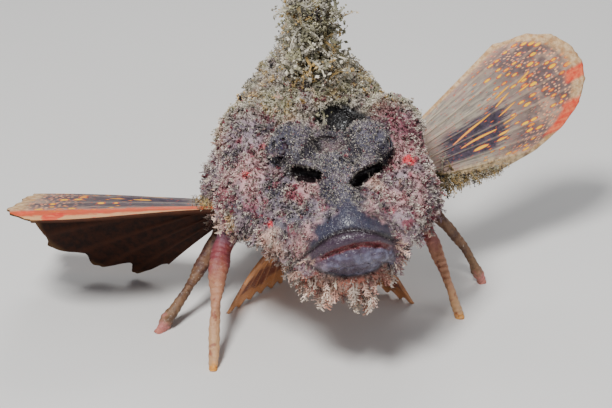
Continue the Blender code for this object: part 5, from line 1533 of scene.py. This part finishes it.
class DEVILFISH_OT_pectoral_fans(bpy.types.Operator):
    """Both spread pectoral fans"""

    bl_idname = "devilfish.pectoral_fans"
    bl_label = "Pectoral fans"

    def execute(self, context):
        sizes = context.scene.devilfish_sizes
        web, thick = sizes.fan_web / MM, sizes.fan_ray / MM
        outer = fan_outer_material()
        for node, recipe in FANS.items():
            fan = Fan(**recipe)

            def notch(k, fan=fan):
                return fan.notches[0] + (fan.notches[1] - fan.notches[0]) * np.maximum(0.0, k - 0.5) / 0.5

            def edge(k, fan=fan):
                between = 1 - ridge(k, fan.folds, 0.8)
                torn = (fan.torn * (noise_field(np.column_stack(
                    [k[:, 0] * 60, k[:, 0] * 0, k[:, 0] * 0]), 1.0, 81) - 0.5)[:, None])
                return 1 - notch(k) * between - torn

            def thickness(k, u):
                return (web + (thick - web) * ridge(k, PECTORAL_RAYS) * (1 - 0.62 * u)
                    + 0.05 * np.sin(160 * k) * u)

            ks, us = np.linspace(0, 1, 190), np.linspace(0.05, 1, 90)
            obj, flat, _ = membrane(node.replace("fin", "fan"), fan.place, ks, us, thickness, edge)
            streak = np.zeros(len(flat))
            for k0, u0, k1, u1, half in STREAKS:
                scale = np.array((fan.base + fan.length * (fan.high - fan.low) * (u0 + u1) / 2, fan.length))
                path = ((k0 * scale[0], u0 * scale[1], 0), (k1 * scale[0], u1 * scale[1], 0))
                wave = 0.25 * np.sin(flat[:, 1] * 21 + 9 * k0)
                here = np.column_stack([flat[:, 0] * scale[0] + wave, flat[:, 1] * scale[1],
                    np.zeros(len(flat))])
                along = np.clip((flat[:, 1] - u0) / (u1 - u0), 0.0, 1.0)
                half = half * (0.35 + 0.65 * np.sin(np.pi * along ** 0.8))
                streak = np.maximum(streak, np.clip(1.6 - path_distance(here, path) / half, 0.0, 1.0))
            put_attribute(obj, "streak", streak)
            inner = fan_inner_material("fan_inner_" + node[13:], node.endswith("right"))
            hand_over(obj, (node,), [inner, outer] if inner_is_up(fan) else [outer, inner])
            self.fringe(context, fan, node[13:])
        return {"FINISHED"}

    def fringe(self, context, fan, side):
        """Sandy tassels along the left fan's lower edge, and a clump at the root of either fan."""
        rng = np.random.default_rng(82)
        if side == "left":
            count = 330
            u = 0.10 + 0.85 * rng.uniform(0, 1, count) ** 1.3
            k = rng.uniform(-0.005, 0.06, count) + 0.16 * ramp(u, 0.45, 0.1) * rng.uniform(0, 1, count)
            way, lengths = 0.35 * fan.inner - 0.9 * fan.across, rng.uniform(1.6, 4.8, count)
            lengths = lengths * (1 + 0.5 * ramp(u, 0.45, 0.2)) * (1 - 0.5 * ramp(u, 0.65, 0.95))
        else:
            count = 90
            u, k = rng.uniform(0.02, 0.15, count), rng.uniform(-0.02, 0.40, count)
            way, lengths = 0.9 * fan.inner - 0.3 * fan.across, rng.uniform(1.5, 3.6, count)
        tones = context.scene.devilfish_colours
        base = np.array(tones.ochre) * (0.75 if side == "left" else 1.0)
        tints = varied(base * rng.uniform(0.4, 1.5, (count, 1)), rng, 0.35, 0.12, 0.10, "olive")
        ways = rng.normal(0, 0.5, (count, 3)) + way
        shapes = ribbon_shapes(83, 16, 0.3, 0.10)
        scatter("fan_fringe_" + side, shapes, fan.place(k, u), ways, lengths, tints, rng,
            glow=(-0.1, 1.1))


def inner_is_up(fan):
    """Whether the sheet's first face, along its rays crossed by its columns, is the inner one."""
    k, u = np.array((0.2, 0.2, 0.21)), np.array((0.5, 0.51, 0.5))
    a, b, c = fan.place(k, u)
    return np.cross(b - a, c - a) @ fan.inner > 0


def spine_path(points, radii, steps):
    """A smooth line through a few points, with a radius at each new point."""
    points = np.array(points, dtype=float)
    fine, widths = [], []
    for i in range(len(points) - 1):
        before, after = points[max(i - 1, 0)], points[min(i + 2, len(points) - 1)]
        a, b = points[i], points[i + 1]
        for t in np.arange(steps) / steps:
            fine.append(
                a * (2 * t**3 - 3 * t**2 + 1) + (b - before) * 0.5 * (t**3 - 2 * t**2 + t)
                + b * (3 * t**2 - 2 * t**3) + (after - a) * 0.5 * (t**3 - t**2)
            )
            widths.append(radii[i] + (radii[i + 1] - radii[i]) * t)
    return np.array(fine + [points[-1]]), np.array(widths + [radii[-1]])


def tube_arrays(path, widths, sides):
    """Closed tube round a path with a width for every ring and side: points, faces, share along the path."""
    count = len(path)
    ahead = np.gradient(path, axis=0)
    ahead /= norm(ahead, axis=1)[:, None]
    across = np.cross(ahead, (0.0, 0.0, 1.0))
    short = norm(across, axis=1) < 1e-6
    across[short] = (1.0, 0.0, 0.0)
    across /= norm(across, axis=1)[:, None]
    over = np.cross(across, ahead)
    angle = 2 * np.pi * np.arange(sides) / sides
    ring = across[:, None] * np.cos(angle)[None, :, None] + over[:, None] * np.sin(angle)[None, :, None]
    points = (path[:, None] + ring * widths[..., None]).reshape(-1, 3)
    index = np.arange(count * sides).reshape(count, sides)
    turned = np.roll(index, -1, axis=1)
    quads = np.stack([index[:-1], index[1:], turned[1:], turned[:-1]], axis=-1).reshape(-1, 4)
    triangles = np.concatenate([quads[:, [0, 1, 2]], quads[:, [0, 2, 3]]])
    centre = np.array([points[:sides].mean(axis=0), points[-sides:].mean(axis=0)])
    first, last = len(points), len(points) + 1
    caps = np.concatenate([
        np.column_stack([np.full(sides, first), index[0], turned[0]]),
        np.column_stack([np.full(sides, last), turned[-1], index[-1]]),
    ])
    share = np.repeat(np.arange(count) / (count - 1), sides)
    return np.concatenate([points, centre]), np.concatenate([triangles, caps]), np.concatenate(
        [share, (0.0, 1.0)])


def limb_material():
    """Wine and violet at the root, ochre and orange at the foot, with rings, blotches and grit."""
    s = Shader("walking_ray_skin")
    where = s.place()
    along = s.attribute("along")["Fac"]
    blotch = s.noise(where, 330.0, 4.0, 0.6)
    fine = s.noise(where, 1500.0, 3.0, 0.6)
    run = s.plus(along, s.calc("MULTIPLY_ADD", blotch, 0.3, -0.15))
    colour = s.blend(s.step(run, 0.10, 0.34), linear(104, 74, 92), linear(132, 62, 66))
    colour = s.blend(s.step(run, 0.34, 0.56), colour, linear(178, 126, 96))
    colour = s.blend(s.step(run, 0.60, 0.85), colour, linear(190, 146, 104))
    colour = s.blend(s.step(run, 0.90, 1.0), colour, linear(222, 150, 58))
    colour = s.blend(s.step(blotch, 0.54, 0.66, 0.0, 0.7), colour, linear(132, 62, 50))
    foot = s.times(s.attribute("rosy")["Fac"], s.step(run, 0.80, 0.92))
    colour = s.blend(s.times(foot, 0.8), colour, s.blend(blotch, linear(148, 64, 70), linear(206, 132, 132)))
    dull = s.times(s.attribute("rosy")["Fac"], s.step(run, 0.94, 0.80, 0.0, 0.85))
    colour = s.blend(dull, colour, s.blend(s.step(blotch, 0.35, 0.65), linear(52, 32, 24),
        linear(112, 84, 58)))
    colour = s.blend(s.step(fine, 0.64, 0.74, 0.0, 0.5), colour, tone("cream"))
    rings = s.calc("SINE", s.times(along, 170.0))
    height = s.plus(s.times(rings, 0.25), s.plus(fine, blotch))
    return s.finish(colour, height, 0.6, 0.0005, s.calc("MULTIPLY_ADD", blotch, 0.3, 0.35))


class DEVILFISH_OT_walking_rays(bpy.types.Operator):
    """The four free rays that the fish stands on"""

    bl_idname = "devilfish.walking_rays"
    bl_label = "Walking rays"

    def execute(self, context):
        material = limb_material()
        for node, (points, radii) in WALKING_RAYS.items():
            path, widths = spine_path(points, radii, 40)
            sides = 24
            share = np.linspace(0, 1, len(path))[:, None]
            angle = 2 * np.pi * np.arange(sides) / sides
            rings = 1 + 0.05 * np.sin(share * 150) * ramp(share, 0.25, 0.5)
            flesh = 1 + 0.10 * np.sin(share * 17 + angle * 2) + 0.05 * np.sin(share * 41 + angle * 3 + 1)
            rear = node.endswith("rear")
            knot = (np.exp(-(((share - 0.86) / 0.07) ** 2))
                * (0.35 + 0.3 * np.sin(angle * 3 + share * 30)) * rear)
            flesh = flesh + knot - 0.12 * np.exp(-(((share - 0.62) / 0.12) ** 2))
            shape, faces, along = tube_arrays(path, widths[:, None] * rings * flesh, sides)
            shape[:, 2] = np.maximum(shape[:, 2], 0.0)
            obj = mesh_piece(node.replace("ray", "finger"), shape, faces)
            put_attribute(obj, "along", along)
            put_attribute(obj, "rosy", np.full(len(shape), float(rear)))
            outward(obj)
            obj.data.shade_smooth()
            hand_over(obj, (node,), [material])
        return {"FINISHED"}


def fin_material(name, pale, deep, edge, rays):
    """A thin fin: rays paler than the web, blotches in rows, a coloured margin."""
    s = Shader(name)
    where, spread = s.place(), s.flat("spread")
    k, u = s.split(spread)[0], s.split(spread)[1]
    grime = s.noise(where, 420.0, 5.0, 0.65)
    cloud = s.noise(where, 150.0, 3.0)
    phase = s.times(k, float(rays - 1))
    ray = s.step(s.ray_nearness(phase), 0.6, 0.95)
    bands = s.calc("SINE", s.plus(s.times(u, 15.0), s.times(cloud, 6.0)))
    colour = s.blend(s.step(s.plus(bands, grime), 0.0, 1.0), linear(*pale), linear(*deep))
    colour = s.blend(s.times(ray, 0.4), colour, linear(*edge))
    colour = s.blend(s.step(s.plus(u, s.times(cloud, 0.1)), 0.93, 1.02, 0.0, 0.8), colour, linear(*edge))
    fine = s.noise(where, 1800.0, 2.0)
    colour = s.blend(s.step(fine, 0.60, 0.72, 0.0, 0.5), colour, tone("sand"))
    return s.finish(colour, s.plus(grime, fine), 0.4, 0.0003, s.calc("MULTIPLY_ADD", grime, 0.3, 0.4))


def upright_place(start, end, depth, reach, lean, up):
    """Points of a fin in the middle plane, along the back or the belly, with rays that lean back."""
    def place(k, u):
        y = start + (end - start) * k
        values = station(y)
        edge = values[..., 1] if up > 0 else values[..., 2]
        angle = np.radians(lean[0] + (lean[1] - lean[0]) * k)
        height = (depth + reach(k)) * u
        x = 0.6 * np.sin(7 * k) * u
        return np.stack([x, y + np.sin(angle) * height, edge - up * depth + up * np.cos(angle) * height],
            axis=-1)

    return place


def caudal_place(k, u):
    angle = np.radians(-33 + 66 * k)
    length = (39 + 3.5 * np.sin(np.pi * k)) * u
    return np.stack([2.5 * u**2, 170 + np.cos(angle) * length,
        16.6 + (k - 0.5) * 11 + np.sin(angle) * length * 0.93], axis=-1)


def pelvic_place(side):
    def place(k, u):
        root = np.stack([side * (10.5 - 4.5 * k), 50 + 15 * k, np.full_like(k, 23.5)], axis=-1)
        tip = np.stack([side * (29 - 18 * k), 47 + 18 * k, -0.5 + 1.3 * np.sin(np.pi * k)], axis=-1)
        point = root + (tip - root) * u[..., None]
        point[..., 2] += 3.0 * np.sin(np.pi * u)
        return point

    return place


class DEVILFISH_OT_small_fins(bpy.types.Operator):
    """Soft back fin, anal fin, tail fin and pelvic fins"""

    bl_idname = "devilfish.small_fins"
    bl_label = "Small fins"

    def execute(self, context):
        dull = ((150, 136, 112), (92, 72, 66), (176, 150, 118))
        warm = ((196, 132, 84), (128, 72, 52), (214, 150, 100))
        soft = upright_place(137, 163, 3, lambda k: 14 + 7 * np.sin(np.pi * (0.25 + 0.6 * k)), (35, 55), 1)
        anal = upright_place(112, 160, 3, lambda k: 7 + 5 * np.sin(np.pi * (0.15 + 0.75 * k)), (40, 58), -1)
        recipes = (
            ("dorsal_fin_soft", soft, 8, 0.06, dull, 0.8, 1.5),
            ("anal_fin", anal, 12, 0.10, warm, 0.8, 1.5),
            ("caudal_fin", caudal_place, 12, 0.03, dull, 0.8, 1.7),
            ("pelvic_fin_left", pelvic_place(1), 6, 0.05, warm, 0.9, 1.8),
            ("pelvic_fin_right", pelvic_place(-1), 6, 0.05, warm, 0.9, 1.8),
        )
        for node, place, rays, notch, tints, web, thick in recipes:

            def edge(k):
                return 1 - notch * (1 - ridge(k, rays, 0.8))

            def thickness(k, u):
                return web * (1 - 0.35 * u) + (thick - web) * ridge(k, rays, 4.0) * (1 - 0.5 * u)

            obj, _, _ = membrane(node.replace("fin", "web"), place, np.linspace(0, 1, 9 * rays),
                np.linspace(0.02, 1, 36), thickness, edge)
            for vertex in obj.data.vertices:
                vertex.co.z = max(vertex.co.z, float(SHIFT[2]))
            material = bpy.data.materials.get("web_" + node.split("_")[0]) or fin_material(
                "web_" + node.split("_")[0], *tints, rays)
            hand_over(obj, (node,), [material, material])
        return {"FINISHED"}


SPINY_PARTS = {
    "dorsal_spines_front": dict(first=53, last=65, count=3,
    heights=lambda k: 26 + 6 * np.sin(np.pi * (k + 0.2)), leans=(6, 14)),
    "dorsal_spines": dict(first=68, last=134, count=14,
    heights=lambda k: 26 - 8 * k + 3 * np.sin(np.pi * k), leans=(20, 34)),
}


class DEVILFISH_OT_spiny_fin(bpy.types.Operator):
    """Back spines with their torn web and the rags that hang on them"""

    bl_idname = "devilfish.spiny_fin"
    bl_label = "Spiny back fin"

    def execute(self, context):
        rng = np.random.default_rng(71)
        web_skin = fin_material("spine_web", (128, 118, 84), (78, 64, 50), (168, 148, 104), 10)
        rag_spots, rag_ways, rag_sizes = [], [], []
        for node, part in SPINY_PARTS.items():
            count = part["count"]
            splay = np.where(np.arange(count + 1) % 2, 0.14, -0.14) + rng.uniform(-0.06, 0.06, count + 1)
            torn = rng.uniform(0.0, 0.14, 200)

            def place(k, u, part=part, splay=splay, count=count):
                y = part["first"] + (part["last"] - part["first"]) * k
                top = station(y)[..., 1]
                height = (3.0 + part["heights"](k)) * u
                lean = (np.radians(part["leans"][0] + (part["leans"][1] - part["leans"][0]) * k)
                    * (1 + 0.25 * u))
                at = np.clip(k * count, 0, count - 1e-6)
                left = np.floor(at).astype(int)
                swing = (splay[left] + (splay[np.minimum(left + 1, count)] - splay[left])
                    * ramp(at - left, 0.55, 1.0))
                return np.stack([np.sin(swing) * height, y + np.sin(lean) * height,
                    top - 3.0 + np.cos(lean) * height], axis=-1)

            def edge(k, count=count, torn=torn):
                after = k * count - np.floor(k * count + 1e-9)
                low = 0.97 - 0.62 * ramp(after, 0.0, 0.75)
                rise = ramp(after, 0.93, 1.0)
                ragged = torn[(k * 197).astype(int) % 200] * np.sin(np.pi * after) ** 0.5
                return low + (0.97 - low) * rise * (after > 0.93) - ragged

            def thickness(k, u, count=count):
                after = np.abs(k * count - np.round(k * count))
                return 0.5 + 0.9 * np.exp(-((after / 0.05) ** 2)) * (1 - 0.6 * u)

            steps = 24
            obj, _, _ = membrane(node.replace("spines", "web"), place,
                np.linspace(0, 1 - 1e-6, steps * count), np.linspace(0.02, 1, 30), thickness, edge)
            hand_over(obj, (node,), [web_skin, web_skin])
            long = node.endswith("front")
            for i in range(count):
                k = i / count
                each = 114 if long else 23
                u = rng.uniform(0.02, 1.0, each) ** (0.9 if long else 1.0)
                where = place(np.full(each, k) + rng.uniform(0, 0.25 / count, each), u)
                way = rng.normal(0, 1, (each, 3)) * (1.6, 0.8, 0.35)
                way /= norm(way, axis=1)[:, None]
                rag_spots.append(where)
                rag_ways.append(way + np.array((0.0, -0.25, -0.55)) * rng.uniform(0, 1, (each, 1)))
                rag_sizes.append(rng.uniform(3.0, 9.5, each) * (1.35 - 0.45 * u) * (1.0 if long else 0.7))
        spots, ways, lengths = np.concatenate(rag_spots), np.concatenate(rag_ways), np.concatenate(rag_sizes)
        tones = context.scene.devilfish_colours
        tints = np.tile(tones.olive, (len(spots), 1)) * rng.uniform(0.5, 1.6, (len(spots), 1))
        tints = varied(tints, rng, 0.34, 0.12, 0.08, "ochre")
        scatter("spine_rags", ribbon_shapes(28, 18, 0.55, 0.11), spots, ways, lengths, tints, rng,
            glow=(0.0, 1.3))
        return {"FINISHED"}


class DEVILFISH_OT_stage(bpy.types.Operator):
    """Floor, lights and camera"""

    bl_idname = "devilfish.stage"
    bl_label = "Stage"

    def execute(self, context):
        stage = context.scene.devilfish_stage
        deselect()
        bpy.ops.mesh.primitive_plane_add(size=6.0, location=(0, 0, 0))
        floor = context.object
        floor.name = "floor"
        s = Shader("floor_paper", 0.9)
        floor.data.materials.append(s.finish(tuple(stage.floor)))
        face = Vector(np.array((0.0, 20.0, 54.0)) * MM + SHIFT)
        for name, place, size, power in (
            ("key", (-0.25, -0.38, 0.70), 0.20, 10.0),
            ("fill", (0.65, -0.50, 0.35), 0.60, 1.4),
            ("rim", (0.15, 0.65, 0.60), 0.40, 2.6),
        ):
            light = bpy.data.lights.new(name, "AREA")
            light.size, light.energy = size, power
            lamp = bpy.data.objects.new(name, light)
            context.scene.collection.objects.link(lamp)
            lamp.location = face + Vector(place)
            lamp.rotation_euler = (-Vector(place)).to_track_quat("-Z", "Y").to_euler()
        world = context.scene.world or bpy.data.worlds.new("studio")
        context.scene.world = world
        world.use_nodes = True
        background = world.node_tree.nodes["Background"]
        background.inputs["Color"].default_value = (0.86, 0.90, 1.0, 1.0)
        background.inputs["Strength"].default_value = 0.24
        camera = bpy.data.cameras.new("camera")
        viewer = bpy.data.objects.new("camera", camera)
        context.scene.collection.objects.link(viewer)
        turn, rise = stage.azimuth, stage.elevation
        back = Vector((math.sin(turn) * math.cos(rise), -math.cos(turn) * math.cos(rise), math.sin(rise)))
        viewer.location = face + back * stage.distance
        viewer.rotation_euler = (-back).to_track_quat("-Z", "Y").to_euler()
        camera.sensor_width = 36.0
        camera.lens = stage.distance / MM / 0.28 / 612 * 36
        camera.shift_x, camera.shift_y = -(330 - 306) / 612, (190 - 204) / 612
        camera.clip_start, camera.clip_end = 0.01, 20.0
        context.scene.camera = viewer
        return {"FINISHED"}


class DEVILFISH_PT_panel(bpy.types.Panel):
    """Lists the sizes, the colours and the steps"""

    bl_idname = "DEVILFISH_PT_panel"
    bl_label = "Spiny devilfish"
    bl_space_type = "VIEW_3D"
    bl_region_type = "UI"
    bl_category = "Devilfish"

    def draw(self, context):
        for group in (context.scene.devilfish_sizes, context.scene.devilfish_colours,
                context.scene.devilfish_stage):
            box = self.layout.box()
            for key in group.bl_rna.properties.keys():
                if key not in ("rna_type", "name"):
                    box.prop(group, key)
        for step in STEPS:
            self.layout.operator(step.bl_idname)


GROUPS = (DevilfishColours, DevilfishSizes, DevilfishStage)
STEPS = (
    DEVILFISH_OT_skin,
    DEVILFISH_OT_eyes,
    DEVILFISH_OT_face_coat,
    DEVILFISH_OT_tassels,
    DEVILFISH_OT_back_coat,
    DEVILFISH_OT_pectoral_fans,
    DEVILFISH_OT_walking_rays,
    DEVILFISH_OT_small_fins,
    DEVILFISH_OT_spiny_fin,
    DEVILFISH_OT_stage,
)


def register():
    for made in GROUPS + STEPS + (DEVILFISH_PT_panel,):
        bpy.utils.register_class(made)
    bpy.types.Scene.devilfish_colours = PointerProperty(type=DevilfishColours)
    bpy.types.Scene.devilfish_sizes = PointerProperty(type=DevilfishSizes)
    bpy.types.Scene.devilfish_stage = PointerProperty(type=DevilfishStage)


def unregister():
    for key in ("devilfish_colours", "devilfish_sizes", "devilfish_stage"):
        delattr(bpy.types.Scene, key)
    for made in reversed(GROUPS + STEPS + (DEVILFISH_PT_panel,)):
        bpy.utils.unregister_class(made)


def main():
    register()
    for step in STEPS:
        group, action = step.bl_idname.split(".")
        getattr(getattr(bpy.ops, group), action)()


if __name__ == "__main__":
    main()
